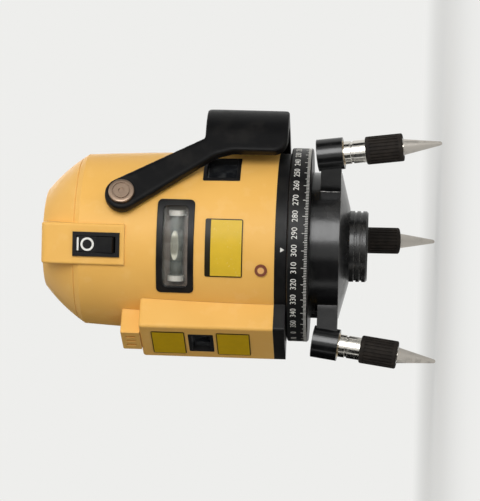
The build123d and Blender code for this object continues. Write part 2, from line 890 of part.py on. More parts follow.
# Switch: a can with a flange, and the rocker that tips in it
pivot_depth = -rocker_pivot_drop
with BuildPart() as switch_can:
    with BuildSketch(switch_plane):
        Rectangle(switch_width, switch_length)
    extrude(amount=switch_flange)
    with BuildSketch(switch_plane):
        Rectangle(can_width, can_length)
    extrude(amount=-can_depth)
    with BuildSketch(switch_plane.offset(switch_flange)):
        Rectangle(can_width - 2 * can_wall, can_length - 2 * can_wall)
    extrude(amount=can_wall - can_depth - switch_flange, mode=Mode.SUBTRACT)
    pin_plane = Plane(
        origin=switch_plane.offset(pivot_depth).origin,
        x_dir=switch_plane.y_dir,
        z_dir=switch_plane.x_dir,
    )
    with BuildSketch(pin_plane):
        Circle(rocker_pin_radius + running_fit)
    extrude(amount=can_width / 2, both=True, mode=Mode.SUBTRACT)
finish(switch_can, "switch_can")

rocker_width = can_width - 2 * can_wall - 2 * rocker_gap
rocker_reach = can_length / 2 - can_wall - rocker_gap
rocker_top = switch_flange - pivot_depth
with BuildPart() as switch_rocker:
    # Tipped: its upper half lies level with the flange and its lower half stands up
    with BuildSketch(pin_plane):
        with BuildLine():
            rise = rocker_reach * tan(radians(2 * rocker_rake))
            Polyline(
                (rocker_reach, -rocker_floor),
                (rocker_reach, rocker_top),
                (0, rocker_top),
                (-rocker_reach, rocker_top + rise),
                (-rocker_reach, -rocker_floor),
                close=True,
            )
        make_face()
        Circle(sqrt(rocker_reach**2 + rocker_top**2) - rocker_gap, mode=Mode.INTERSECT)
    extrude(amount=rocker_width / 2, both=True)
    with BuildSketch(pin_plane):
        Circle(rocker_pin_radius)
    extrude(amount=can_width / 2 - side_gap, both=True)
finish(switch_rocker, "switch_rocker")

# Spirit vial: bezel in the housing's skin, lens, tray behind it, and the tube in the tray
with BuildPart() as vial_bezel:
    add(
        skin_patch(
            panel_azimuth,
            vial_width - 2 * seat_fit,
            vial_height - 2 * seat_fit,
            vial_level,
            vial_stand,
            -vial_frame_depth,
            vial_corner,
        )
    )
    with BuildSketch(side_plane(panel_azimuth, 0, vial_level)):
        RectangleRounded(vial_width - 2 * vial_rim, vial_height - 2 * vial_rim, vial_corner)
    extrude(amount=far, mode=Mode.SUBTRACT)
finish(vial_bezel, "vial_bezel")

with BuildPart() as vial_lens:
    add(
        skin_patch(
            panel_azimuth,
            vial_width - 2 * vial_rim - 2 * press_fit,
            vial_height - 2 * vial_rim - 2 * press_fit,
            vial_level,
            -lens_set,
            -lens_set - lens_thickness,
            vial_corner,
        )
    )
finish(vial_lens, "vial_lens")

lens_inside = outline_radius(vial_level + tube_radius, -lens_set - lens_thickness)
tube_distance = sqrt(lens_inside**2 - (tube_length / 2) ** 2) - tube_radius - tube_gap
tray_floor = tube_distance - tube_radius + tube_sink
tray_back = tray_floor - tray_base
tube_plane = Plane(
    origin=panel_outwards * tube_distance + Vector(0, 0, vial_level),
    x_dir=panel_outwards,
    z_dir=Vector(0, 0, 1).cross(panel_outwards),
)
tray_limit = head_solid(-vial_frame_depth - press_fit)
with BuildPart() as vial_tray:
    with BuildSketch(side_plane(panel_azimuth, tray_back, vial_level)):
        Rectangle(vial_width - 2 * seat_fit, vial_height - 2 * seat_fit)
    extrude(amount=far - tray_back)
    with BuildSketch(side_plane(panel_azimuth, tray_floor, vial_level)):
        Rectangle(vial_width - 2 * vial_rim, vial_height - 2 * vial_rim)
    extrude(amount=far - tray_floor, mode=Mode.SUBTRACT)
    add(tray_limit, mode=Mode.INTERSECT)
    with BuildSketch(tube_plane):
        Circle(tube_radius + press_fit)
    extrude(amount=tube_length / 2 + press_fit, both=True, mode=Mode.SUBTRACT)
finish(vial_tray, "vial_tray")

glass_length = tube_length - 2 * tube_cap
with BuildPart() as vial_tube:
    with BuildSketch(tube_plane):
        Circle(tube_radius)
        Circle(tube_radius - tube_wall, mode=Mode.SUBTRACT)
    extrude(amount=glass_length / 2, both=True)
finish(vial_tube, "vial_tube")

with BuildPart() as vial_caps:
    with BuildSketch(tube_plane.offset(glass_length / 2)):
        Circle(tube_radius)
    extrude(amount=tube_cap)
    with BuildSketch(tube_plane.offset(-glass_length / 2)):
        Circle(tube_radius)
    extrude(amount=-tube_cap)
finish(vial_caps, "vial_caps")

# Blank plate on the housing, and the adjustment plug near the lower edge
with BuildPart() as side_plate:
    add(
        skin_patch(
            panel_azimuth,
            plate_width,
            plate_height,
            plate_level,
            seat_fit + plate_thickness,
            seat_fit,
            plate_corner,
        )
    )
finish(side_plate, "side_plate")

plug_seat = outline_radius(plug_level) + seat_fit
with BuildPart() as adjustment_plug:
    with BuildSketch(side_plane(plug_azimuth, plug_seat, plug_level)):
        Circle(plug_head_radius)
    extrude(amount=plug_head_height)
    with BuildSketch(side_plane(plug_azimuth, plug_seat, plug_level)):
        Circle(plug_radius)
    extrude(amount=-plug_length)
finish(adjustment_plug, "adjustment_plug")

# Emitter box: open at the back, on the front of the housing and on the skirt
box_top = housing_bottom + box_height
step_top = box_top + step_height
front_face_plane = side_plane(front_azimuth, box_front, front_window_level)
with BuildPart() as emitter_box:
    with BuildSketch(Plane.XY.offset(housing_bottom)):
        with Locations((0, -box_front / 2)):
            Rectangle(box_width, box_front)
    extrude(amount=box_height)
    fillet(emitter_box.edges().filter_by(Axis.Z).group_by(Axis.Y)[0], box_edge)
    fillet(emitter_box.faces().sort_by(Axis.Z)[-1].edges(), box_edge)
    with BuildSketch(Plane.XY.offset(box_top)):
        with Locations((0, -box_front / 2)):
            Rectangle(step_width, box_front)
    extrude(amount=step_height)
    fillet(emitter_box.faces().sort_by(Axis.Z)[-1].edges(), step_edge)
    with BuildSketch(side_plane(front_azimuth, box_front - step_slot_depth, box_top + step_height / 2)):
        with GridLocations(step_slot_pitch, 0, 3, 1):
            Rectangle(step_slot_width, step_height / 2)
    extrude(amount=step_slot_depth, mode=Mode.SUBTRACT)
    with BuildSketch(Plane.XY.offset(housing_bottom)):
        with Locations((0, (box_wall - box_front) / 2)):
            Rectangle(box_width - 2 * box_wall, box_front - box_wall)
    extrude(amount=box_height - box_wall, mode=Mode.SUBTRACT)
    add(seat_solid, mode=Mode.SUBTRACT)
    with BuildSketch(front_face_plane):
        RectangleRounded(front_window_width, front_window_height, window_corner)
    extrude(amount=-frame_depth, mode=Mode.SUBTRACT)
finish(emitter_box, "emitter_box")

front_plate_offset = front_window_height / 2 + front_plate_gap + front_plate_height / 2
with BuildPart() as front_plates:
    with BuildSketch(front_face_plane):
        with Locations((0, front_plate_offset), (0, -front_plate_offset)):
            RectangleRounded(front_plate_width, front_plate_height, plate_corner)
    extrude(amount=plate_thickness)
finish(front_plates, "front_plates")

# Laser windows: a black frame with a glass set into it
front_clear_width = front_window_width - 2 * frame_wall
front_clear_height = front_window_height - 2 * frame_wall
with BuildPart() as front_frame:
    with BuildSketch(front_face_plane):
        RectangleRounded(
            front_window_width - 2 * press_fit, front_window_height - 2 * press_fit, window_corner
        )
        Rectangle(front_clear_width, front_clear_height, mode=Mode.SUBTRACT)
    extrude(amount=-frame_depth)
finish(front_frame, "front_frame")

with BuildPart() as front_glass:
    with BuildSketch(front_face_plane.offset(-glass_set)):
        Rectangle(front_clear_width - 2 * press_fit, front_clear_height - 2 * press_fit)
    extrude(amount=-glass_thickness)
finish(front_glass, "front_glass")

frame_limit = head_solid(frame_stand)
side_frame_back = outline_radius(side_window_level) - frame_depth - shell_wall
side_glass_front = sqrt(outline_radius(side_window_level) ** 2 - (side_window_width / 2) ** 2) - glass_set
side_clear_width = side_window_width - 2 * frame_wall
side_clear_height = side_window_height - 2 * frame_wall
frame_planes = [side_plane(azimuth, side_frame_back, side_window_level) for azimuth in window_azimuths]
glass_planes = [side_plane(azimuth, side_glass_front, side_window_level) for azimuth in window_azimuths]
with BuildPart() as side_frames:
    with BuildSketch(*frame_planes):
        RectangleRounded(
            side_window_width - 2 * press_fit, side_window_height - 2 * press_fit, window_corner
        )
        Rectangle(side_clear_width, side_clear_height, mode=Mode.SUBTRACT)
    extrude(amount=far - side_frame_back)
    add(frame_limit, mode=Mode.INTERSECT)
finish(side_frames, "side_frames")

with BuildPart() as side_glasses:
    with BuildSketch(*glass_planes):
        Rectangle(side_clear_width - 2 * press_fit, side_clear_height - 2 * press_fit)
    extrude(amount=-glass_thickness)
finish(side_glasses, "side_glasses")

# Carry handle: a bail, drawn as a side outline and a plan outline that cross
handle_inside = body_radius + handle_gap
handle_outside = handle_inside + arm_thickness
grip_inside = body_radius + grip_gap
grip_outside = grip_inside + grip_thickness
bail_inner_corner = bail_corner - (arm_thickness + grip_thickness) / 2
elbow_level = pivot_level - elbow_drop
grip_level = grip_bottom + grip_height / 2
grip_reach = grip_outside + grip_edge
grip_middle = (grip_front + grip_reach) / 2
with BuildPart() as carry_handle:
    with BuildSketch(Plane.YZ):
        with Locations((0, pivot_level)):
            Circle(eye_radius)
        with Locations((elbow_reach, elbow_level)):
            Circle(elbow_radius)
        make_hull()
    with BuildSketch(Plane.YZ):
        with Locations((elbow_reach, elbow_level), (elbow_reach + elbow_radius, grip_level)):
            Circle(elbow_radius)
        make_hull()
    with BuildSketch(Plane.YZ):
        with Locations((grip_middle, grip_level)):
            RectangleRounded(grip_reach - grip_front, grip_height, grip_corner)
    extrude(amount=handle_outside, both=True)
    with BuildSketch() as bail_plan:
        bail_length = grip_outside + eye_radius
        with Locations((0, grip_outside - bail_length / 2)):
            Rectangle(2 * handle_outside, bail_length)
        fillet(bail_plan.vertices().group_by(Axis.Y)[-1], bail_corner)
        with BuildSketch(mode=Mode.PRIVATE) as bail_inside:
            inside_length = grip_inside + 2 * eye_radius
            with Locations((0, grip_inside - inside_length / 2)):
                Rectangle(2 * handle_inside, inside_length)
            fillet(bail_inside.vertices().group_by(Axis.Y)[-1], bail_inner_corner)
        add(bail_inside.sketch, mode=Mode.SUBTRACT)
    extrude(amount=peak_level, mode=Mode.INTERSECT)
    with BuildSketch(Plane.YZ):
        with Locations((0, pivot_level)):
            Circle(pivot_radius + running_fit)
    extrude(amount=handle_outside, both=True, mode=Mode.SUBTRACT)
finish(carry_handle, "carry_handle")

# Handle pivots on both sides: spacer, screw and nut
with BuildPart() as handle_spacers:
    with BuildSketch(Plane.YZ):
        with Locations((0, pivot_level)):
            Circle(spacer_radius)
            Circle(pivot_radius + press_fit, mode=Mode.SUBTRACT)
    extrude(amount=handle_inside - seat_fit, both=True)
    add(seat_solid, mode=Mode.SUBTRACT)
finish(handle_spacers, "handle_spacers")

pivot_seats = [
    Plane(
        origin=(side * (handle_outside + seat_fit), 0, pivot_level),
        x_dir=(0, 1, 0),
        z_dir=(side, 0, 0),
    )
    for side in (1, -1)
]
nut_seats = [
    Plane(origin=(side * pivot_boss_reach, 0, pivot_level), x_dir=(0, 1, 0), z_dir=(-side, 0, 0))
    for side in (1, -1)
]
with BuildPart() as pivot_screws:
    with BuildSketch(*pivot_seats):
        Circle(pivot_head_radius)
    extrude(amount=pivot_head_height)
    chamfer(pivot_screws.faces().filter_by(Axis.X).group_by(Axis.X)[0].edges(), pivot_head_edge)
    chamfer(pivot_screws.faces().filter_by(Axis.X).group_by(Axis.X)[-1].edges(), pivot_head_edge)
    with BuildSketch(*pivot_seats):
        Circle(pivot_radius)
    extrude(amount=pivot_boss_reach - nut_thickness - handle_outside)
finish(pivot_screws, "pivot_screws")

with BuildPart() as pivot_nuts:
    with BuildSketch(*nut_seats):
        RegularPolygon(nut_radius, 6)
        Circle(pivot_radius + press_fit, mode=Mode.SUBTRACT)
    extrude(amount=nut_thickness)
finish(pivot_nuts, "pivot_nuts")

# Batteries: holder behind the cover, three cells and their contacts
cell_reach = outline_radius(holder_bottom + holder_height) - cover_wall - cell_inset - cell_radius
cell_distance = sqrt(cell_reach**2 - ((cell_count - 1) / 2 * cell_pitch) ** 2)
holder_back = cell_distance - cell_radius - cell_gap - holder_wall
holder_limit = head_solid(-shell_wall - seat_fit, housing_bottom - shell_wall)
holder_width = cells_width + 2 * holder_wall
cell_spots = [((index - (cell_count - 1) / 2) * cell_pitch, 0) for index in range(cell_count)]
cell_bottom = holder_bottom + holder_wall + contact_thickness
cell_floor = Plane(
    origin=direction(battery_azimuth) * cell_distance + Vector(0, 0, cell_bottom),
    x_dir=Vector(0, 0, 1).cross(direction(battery_azimuth)),
    z_dir=(0, 0, 1),
)
with BuildPart() as battery_holder:
    with BuildSketch(side_plane(battery_azimuth, holder_back, cover_level)):
        Rectangle(holder_width, holder_height)
    extrude(amount=far - holder_back)
    with BuildSketch(side_plane(battery_azimuth, holder_back + holder_wall, cover_level)):
        Rectangle(cells_width, holder_height - 2 * holder_wall)
    extrude(amount=far - holder_back, mode=Mode.SUBTRACT)
    add(holder_limit, mode=Mode.INTERSECT)
finish(battery_holder, "battery_holder")

with BuildPart() as battery_cells:
    with BuildSketch(cell_floor):
        with Locations(*cell_spots):
            Circle(cell_radius)
    extrude(amount=cell_length)
    with BuildSketch(cell_floor.offset(cell_length)):
        with Locations(*cell_spots):
            Circle(button_radius)
    extrude(amount=button_height)
finish(battery_cells, "battery_cells")

with BuildPart() as battery_contacts:
    contact_gap = cell_length + button_height
    with BuildSketch(cell_floor.offset(-contact_thickness), cell_floor.offset(contact_gap)):
        with Locations(*cell_spots):
            Rectangle(contact_width, contact_width)
    extrude(amount=contact_thickness)
finish(battery_contacts, "battery_contacts")

with BuildPart() as battery_cover:
    add(
        skin_patch(
            battery_azimuth,
            cover_width - 2 * cover_margin,
            cover_height - 2 * cover_margin,
            cover_level,
            0,
            -cover_wall,
        )
    )
    notch_level = cover_level + cover_height / 2 - 2 * notch_height
    with BuildSketch(side_plane(battery_azimuth, outline_radius(notch_level) - notch_depth, notch_level)):
        RectangleRounded(notch_width, notch_height, notch_corner)
    extrude(amount=far, mode=Mode.SUBTRACT)
finish(battery_cover, "battery_cover")

# Circuit board on its pegs, with components on the inner side
board_plane = side_plane(board_azimuth, board_back - board_thickness, board_level)
with BuildPart() as circuit_board:
    with BuildSketch(board_plane):
        Rectangle(board_width, board_height)
        with Locations(*peg_spots):
            Circle(screw_radius + seat_fit, mode=Mode.SUBTRACT)
    extrude(amount=board_thickness)
finish(circuit_board, "circuit_board")

with BuildPart() as board_components:
    with BuildSketch(board_plane):
        with Locations((0, chip_rise)):
            Rectangle(chip_size, chip_size)
    extrude(amount=-chip_height)
    with BuildSketch(board_plane):
        with Locations((0, -coil_drop)):
            Circle(coil_radius)
    extrude(amount=-coil_height)
finish(board_components, "board_components")

# Compensator: plate on the shelf with two bearing blocks, gimbal ring, and the pendulum with the lasers
plate_top = shelf_top + plate_ring_thickness
plate_radius = outline_radius(plate_top) - shell_wall - plate_gap
block_near = pivot_boss_reach - nut_thickness - block_clearance - block_length
gimbal_radius = block_near - block_gap
with BuildPart() as gimbal_plate:
    with BuildSketch(Plane.XY.offset(shelf_top)):
        Circle(plate_radius)
        Circle(gimbal_radius + swing_gap, mode=Mode.SUBTRACT)
        with Locations(*shelf_screw_spots):
            Circle(screw_radius + seat_fit, mode=Mode.SUBTRACT)
    extrude(amount=plate_ring_thickness)
    with BuildSketch(Plane.XY.offset(shelf_top)):
        with Locations((block_near + block_length / 2, 0), (-block_near - block_length / 2, 0)):
            Rectangle(block_length, block_width)
    extrude(amount=gimbal_level + block_cover - shelf_top)
    with BuildSketch(Plane.YZ):
        with Locations((0, gimbal_level)):
            Circle(pin_radius + running_fit)
    extrude(amount=plate_radius, both=True, mode=Mode.SUBTRACT)
finish(gimbal_plate, "gimbal_plate")

# Screws of the head: they hold the spindle, skirt, board and gimbal plate. The skirt's come up from
# below and the board's in from the middle, so their planes look that way and mirror the spots' y.
below = Plane(origin=(0, 0, skirt_seat), x_dir=(1, 0, 0), z_dir=(0, 0, -1))
inner_face = Plane(origin=board_plane.origin, x_dir=board_plane.x_dir, z_dir=-board_plane.z_dir)
spindle_screw_length = skirt_height - skirt_rim + flange_thickness
plate_screw_length = plate_ring_thickness + shelf_thickness
with BuildPart() as head_screws:
    add(screw_set(Plane.XY.offset(housing_bottom), spindle_screw_spots, spindle_screw_length))
    add(screw_set(below, [(x, -y) for x, y in post_spots], skirt_screw_length))
    add(screw_set(inner_face, [(x, -y) for x, y in peg_spots], board_screw_length))
    add(screw_set(Plane.XY.offset(plate_top), shelf_screw_spots, plate_screw_length))
finish(head_screws, "head_screws")

gimbal_inside = gimbal_radius - gimbal_wall
with BuildPart() as gimbal_ring:
    with BuildSketch(Plane.XY.offset(gimbal_level - gimbal_height / 2)):
        Circle(gimbal_radius)
        Circle(gimbal_inside, mode=Mode.SUBTRACT)
    extrude(amount=gimbal_height)
    with BuildSketch(Plane.YZ):
        with Locations((0, gimbal_level)):
            Circle(pin_radius + press_fit)
    extrude(amount=gimbal_radius, both=True, mode=Mode.SUBTRACT)
    with BuildSketch(Plane.XZ):
        with Locations((0, gimbal_level)):
            Circle(pin_radius + running_fit)
    extrude(amount=gimbal_radius, both=True, mode=Mode.SUBTRACT)
finish(gimbal_ring, "gimbal_ring")

pin_planes = [
    Plane(
        origin=(side * (gimbal_inside + press_fit), 0, gimbal_level),
        x_dir=(0, 1, 0),
        z_dir=(side, 0, 0),
    )
    for side in (1, -1)
]
with BuildPart() as gimbal_pins:
    with BuildSketch(*pin_planes):
        Circle(pin_radius)
    extrude(amount=block_near + block_length - gimbal_inside - press_fit)
finish(gimbal_pins, "gimbal_pins")

with BuildPart() as pendulum_pin:
    with BuildSketch(Plane.XZ):
        with Locations((0, gimbal_level)):
            Circle(pin_radius)
    extrude(amount=gimbal_radius - side_gap, both=True)
finish(pendulum_pin, "pendulum_pin")

carrier_top = front_window_level + carrier_above
carrier_bottom = side_window_level - carrier_below
with BuildPart() as pendulum_stem:
    with BuildSketch(Plane.XY.offset(carrier_top)):
        Circle(stem_rod_radius)
    extrude(amount=gimbal_level + stem_rod_top - carrier_top)
    with BuildSketch(Plane.XZ):
        with Locations((0, gimbal_level)):
            Circle(pin_radius + press_fit)
    extrude(amount=2 * stem_rod_radius, both=True, mode=Mode.SUBTRACT)
finish(pendulum_stem, "pendulum_stem")

# Each laser module is a barrel with a lens opening, square to an azimuth
barrel_root = (barrel_radius + barrel_gap) / sin(radians(window_azimuths[0] / 2))
front_modules = [
    side_plane(front_azimuth, barrel_root, front_window_level + end * (barrel_radius + barrel_gap / 2))
    for end in (1, -1)
]
side_modules = [side_plane(azimuth, barrel_root, side_window_level) for azimuth in window_azimuths]
barrel_length = barrel_tip - barrel_root
with BuildPart() as laser_carrier:
    with BuildSketch(Plane.XY.offset(carrier_bottom)):
        Circle(carrier_radius)
    extrude(amount=carrier_top - carrier_bottom)
    with BuildSketch(*front_modules, *side_modules):
        Circle(barrel_radius + press_fit)
    extrude(amount=barrel_length, mode=Mode.SUBTRACT)
    with BuildSketch(Plane.XY.offset(carrier_bottom)):
        Circle(plumb_radius + press_fit)
    extrude(amount=plumb_socket, mode=Mode.SUBTRACT)
finish(laser_carrier, "laser_carrier")


def laser_barrels(planes):
    """Laser barrels that run outwards from their planes, each with a lens opening in its tip."""
    with BuildPart() as barrels:
        with BuildSketch(*planes):
            Circle(barrel_radius)
        extrude(amount=barrel_length)
        with BuildSketch(*[plane.offset(barrel_length) for plane in planes]):
            Circle(lens_ring_radius)
        extrude(amount=-lens_ring_depth, mode=Mode.SUBTRACT)
    return barrels.part


with BuildPart() as front_lasers:
    add(laser_barrels(front_modules))
finish(front_lasers, "front_lasers")

with BuildPart() as side_lasers:
    add(laser_barrels(side_modules))
finish(side_lasers, "side_lasers")

plumb_top = carrier_bottom + plumb_socket
plumb_bottom = housing_bottom + magnet_height + magnet_gap
plumb_length = plumb_top - plumb_bottom
with BuildPart() as plumb_laser:
    with BuildSketch(Plane.XY.offset(plumb_bottom)):
        Circle(plumb_radius)
    extrude(amount=plumb_length)
    with BuildSketch(Plane.XY.offset(plumb_bottom)):
        Circle(lens_ring_radius)
    extrude(amount=lens_ring_depth, mode=Mode.SUBTRACT)
finish(plumb_laser, "plumb_laser")

with BuildPart() as damping_disc:
    with BuildSketch(Plane.XY.offset(plumb_bottom + disc_rise)):
        Circle(disc_radius)
        Circle(plumb_radius + press_fit, mode=Mode.SUBTRACT)
    extrude(amount=disc_thickness)
finish(damping_disc, "damping_disc")

with BuildPart() as damping_magnet:
    with BuildSketch(Plane.XY.offset(housing_bottom)):
        Circle(magnet_radius)
        Circle(magnet_bore, mode=Mode.SUBTRACT)
    extrude(amount=magnet_height)
finish(damping_magnet, "damping_magnet")
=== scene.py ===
# %% [markdown]
# # The looks of a cross line laser level
#
# The level is a yellow laser head that turns on a black dial base with three spiked feet. Its solids
# come ready made, at their real size, as the frame. This lesson gives each surface its finish and
# models what solids leave out: dial numbers and ticks, switch marks, the fluid and bubble of the vial,
# turned screw heads, ribbed foot grips, a handle with soft edges and the tripod thread.

# %% Load the frame
import json
from math import cos, degrees, pi, radians, sin, sqrt, tau

import bmesh
import bpy
from mathutils import Matrix, Vector


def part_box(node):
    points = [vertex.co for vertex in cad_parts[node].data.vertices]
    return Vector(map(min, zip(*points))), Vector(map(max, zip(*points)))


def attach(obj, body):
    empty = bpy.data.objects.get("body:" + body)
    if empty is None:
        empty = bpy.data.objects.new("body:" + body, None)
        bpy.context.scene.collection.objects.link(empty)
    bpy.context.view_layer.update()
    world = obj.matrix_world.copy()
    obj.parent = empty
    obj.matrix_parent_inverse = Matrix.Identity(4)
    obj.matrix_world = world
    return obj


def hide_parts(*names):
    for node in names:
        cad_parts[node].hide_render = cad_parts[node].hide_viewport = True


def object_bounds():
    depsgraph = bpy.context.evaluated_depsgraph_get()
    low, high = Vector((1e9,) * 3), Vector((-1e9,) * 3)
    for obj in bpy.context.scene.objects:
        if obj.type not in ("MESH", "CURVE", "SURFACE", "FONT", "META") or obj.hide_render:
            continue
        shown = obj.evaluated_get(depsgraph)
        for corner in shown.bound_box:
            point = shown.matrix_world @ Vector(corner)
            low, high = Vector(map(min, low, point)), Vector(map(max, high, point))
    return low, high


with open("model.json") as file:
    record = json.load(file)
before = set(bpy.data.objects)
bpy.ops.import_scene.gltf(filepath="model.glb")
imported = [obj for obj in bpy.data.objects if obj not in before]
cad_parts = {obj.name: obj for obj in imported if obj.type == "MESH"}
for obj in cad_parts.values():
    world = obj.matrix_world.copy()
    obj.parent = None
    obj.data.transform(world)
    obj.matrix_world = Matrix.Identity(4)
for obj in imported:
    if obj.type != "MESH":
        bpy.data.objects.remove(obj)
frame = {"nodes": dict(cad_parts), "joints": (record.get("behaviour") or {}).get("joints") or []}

MM = 0.001
NEAR = 0.001 * MM  # points closer than this are one point
cad_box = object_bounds()
nodes = frame["nodes"]
joints = {joint["name"]: joint for joint in frame["joints"]}

# %% [markdown]
# ## Helpers for modelling
#
# An operator works on whatever is selected, and the solids are selected after loading. So each piece
# starts by deselecting everything, and inside edit mode faces and edges are chosen by where they are
# and which way they look, as one would click them by hand.

# %% Helpers for modelling
def fresh():
    """Go back to object mode with nothing selected."""
    if bpy.context.mode != "OBJECT":
        bpy.ops.object.mode_set(mode="OBJECT")
    bpy.ops.object.select_all(action="DESELECT")


def choose(*pieces):
    """Select these pieces alone, with the first one active."""
    fresh()
    for piece in pieces:
        piece.select_set(True)
    bpy.context.view_layer.objects.active = pieces[0]
    return pieces[0]


def edit(piece):
    """Open a piece in edit mode with everything selected."""
    choose(piece)
    bpy.ops.object.mode_set(mode="EDIT")
    bpy.ops.mesh.select_all(action="SELECT")


def pick_faces(piece, wanted):
    """In edit mode, select the faces whose middle and normal are wanted."""
    bpy.ops.mesh.select_mode(type="FACE")
    bpy.ops.mesh.select_all(action="DESELECT")
    shape = bmesh.from_edit_mesh(piece.data)
    for face in shape.faces:
        face.select_set(bool(wanted(face.calc_center_median(), face.normal)))
    bmesh.update_edit_mesh(piece.data)


def pick_edges(piece, wanted):
    """In edit mode, select the edges whose two ends are wanted."""
    bpy.ops.mesh.select_mode(type="EDGE")
    bpy.ops.mesh.select_all(action="DESELECT")
    shape = bmesh.from_edit_mesh(piece.data)
    for edge in shape.edges:
        edge.select_set(bool(wanted(edge.verts[0].co, edge.verts[1].co)))
    bmesh.update_edit_mesh(piece.data)


def push(step):
    """Extrude the selected faces along Z."""
    bpy.ops.mesh.extrude_region_move(TRANSFORM_OT_translate={"value": (0, 0, step)})


def apply_all(piece):
    """Apply every modifier of a piece, from the top down."""
    choose(piece)
    for modifier in list(piece.modifiers):
        bpy.ops.object.modifier_apply(modifier=modifier.name)


def put(piece, matrix):
    """Move a piece to its place and make the place part of its mesh."""
    choose(piece)
    piece.matrix_world = matrix
    bpy.ops.object.transform_apply(location=True, rotation=True, scale=True)


def outwards(azimuth):
    """Level direction at an azimuth, counted in degrees from the front towards +X."""
    return Vector((sin(radians(azimuth)), -cos(radians(azimuth)), 0))


def wrap(piece, azimuth, radius, level):
    """Bend a flat piece round the upright axis: x runs round it, y up and z outwards."""
    for vertex in piece.data.vertices:
        x, y, z = vertex.co
        spot = outwards(azimuth + degrees(x / radius)) * (radius + z)
        vertex.co = (spot.x, spot.y, level + y)


def axes_matrix(across, up, out, origin):
    """A place from three axes and an origin."""
    matrix = Matrix((across, up, out)).transposed().to_4x4()
    matrix.translation = origin
    return matrix


UP = Vector((0, 0, 1))
PANEL = 60  # azimuth of the switch, vial and side plate
panel_out = outwards(PANEL)
panel_along = UP.cross(panel_out)
print("panel looks along", [round(part, 3) for part in panel_out])

# %% [markdown]
# ## Helpers for finishes
#
# A finish is a Principled shader with patterns fed into it. Writing the sums as Python expressions is
# easier to read than naming Math nodes one by one, so a small class wraps a socket and lets `+`, `-`
# and `*` add the nodes. Every other node comes from one method.

# %% Helpers for finishes
class Value:
    """A number that changes over a surface: one output socket with Python's operators."""

    def __init__(self, finish, socket):
        self.finish = finish
        self.socket = socket

    def maths(self, operation, first, second=0.0):
        return self.finish.node("ShaderNodeMath", {"operation": operation}, {0: first, 1: second})

    def __add__(self, other):
        return self.maths("ADD", self, other)

    def __sub__(self, other):
        return self.maths("SUBTRACT", self, other)

    def __rsub__(self, other):
        return self.maths("SUBTRACT", other, self)

    def __mul__(self, other):
        return self.maths("MULTIPLY", self, other)

    def __abs__(self):
        return self.maths("ABSOLUTE", self)

    __radd__ = __add__
    __rmul__ = __mul__

    def least(self, other):
        return self.maths("MINIMUM", self, other)

    def most(self, other):
        return self.maths("MAXIMUM", self, other)

    def above(self, edge, blur):
        """0 below an edge and 1 above it, with a soft step between."""
        limits = {"Value": self, "From Min": edge - blur, "From Max": edge + blur}
        return self.finish.node("ShaderNodeMapRange", {"interpolation_type": "SMOOTHSTEP"}, limits)


class Finish:
    """A material that is built round one Principled shader."""

    def __init__(self, name):
        self.material = bpy.data.materials.new(name)
        self.material.use_nodes = True
        self.tree = self.material.node_tree
        self.shader = self.tree.nodes["Principled BSDF"]
        self.place = self.node("ShaderNodeTexCoord", output="Object")
        self.soft_normal = None

    def node(self, kind, settings=None, inputs=None, output=0):
        """Add a node: its settings first, then the values or links of its sockets."""
        node = self.tree.nodes.new(kind)
        for name, setting in (settings or {}).items():
            setattr(node, name, setting)
        for name, value in (inputs or {}).items():
            self.set(node.inputs[name], value)
        return Value(self, node.outputs[output])

    def set(self, socket, value):
        """Give a socket a link or a constant."""
        if isinstance(value, Value):
            self.tree.links.new(value.socket, socket)
        else:
            socket.default_value = value

    def feed(self, sockets):
        """Set sockets of the shader by their names."""
        for name, value in sockets.items():
            self.set(self.shader.inputs[name], value)
        return self.material

    def mix(self, share, first, second):
        """A colour between two others."""
        return self.node("ShaderNodeMix", {"data_type": "RGBA"}, {0: share, 6: first, 7: second}, 2)

    def along(self, way):
        """How far a point lies along a direction, in metres."""
        sockets = {0: self.place, 1: way}
        return self.node("ShaderNodeVectorMath", {"operation": "DOT_PRODUCT"}, sockets, "Value")

    def cloud(self, size, detail=2.0, place=None):
        """A soft random pattern round 0.5, with patches about this many metres across."""
        sockets = {"Vector": place or self.place, "Scale": 1 / size, "Detail": detail}
        return self.node("ShaderNodeTexNoise", None, sockets)

    def streaks(self, size, way):
        """Random lines that only change along one direction, as a lathe or a mould leaves them."""
        place = self.node("ShaderNodeCombineXYZ", None, {0: self.along(way)})
        return self.cloud(size, 3.0, place)

    def round_edge(self, radius):
        """The surface's normal with its sharp edges rounded."""
        if self.soft_normal is None:
            self.soft_normal = self.node("ShaderNodeBevel", {"samples": 4}, {"Radius": radius})
        return self.soft_normal

    def edges(self, radius):
        """Near 1 on sharp edges and 0 elsewhere: how far the rounded normal leans from the true one."""
        true = self.node("ShaderNodeNewGeometry", output="Normal")
        sockets = {0: self.round_edge(radius), 1: true}
        lean = self.node("ShaderNodeVectorMath", {"operation": "DOT_PRODUCT"}, sockets, "Value")
        return (1 - lean).above(0.1, 0.09)

    def relief(self, height, depth, radius=0.25 * MM):
        """A normal that shows a height pattern of a depth in metres, with rounded edges."""
        sockets = {"Strength": 1.0, "Distance": depth, "Height": height, "Normal": self.round_edge(radius)}
        return self.node("ShaderNodeBump", None, sockets)


def colour(red, green, blue):
    """A colour as on a colour card, 0 to 255, in the linear values that a shader takes."""
    shares = [level / 255 for level in (red, green, blue)]
    return (*[s / 12.92 if s < 0.04 else ((s + 0.055) / 1.055) ** 2.4 for s in shares], 1.0)


finishes = {}


def dress(names, material):
    """Give solids of the frame a finish."""
    for name in names:
        nodes[name].data.materials.clear()
        nodes[name].data.materials.append(material)
        finishes[name] = material


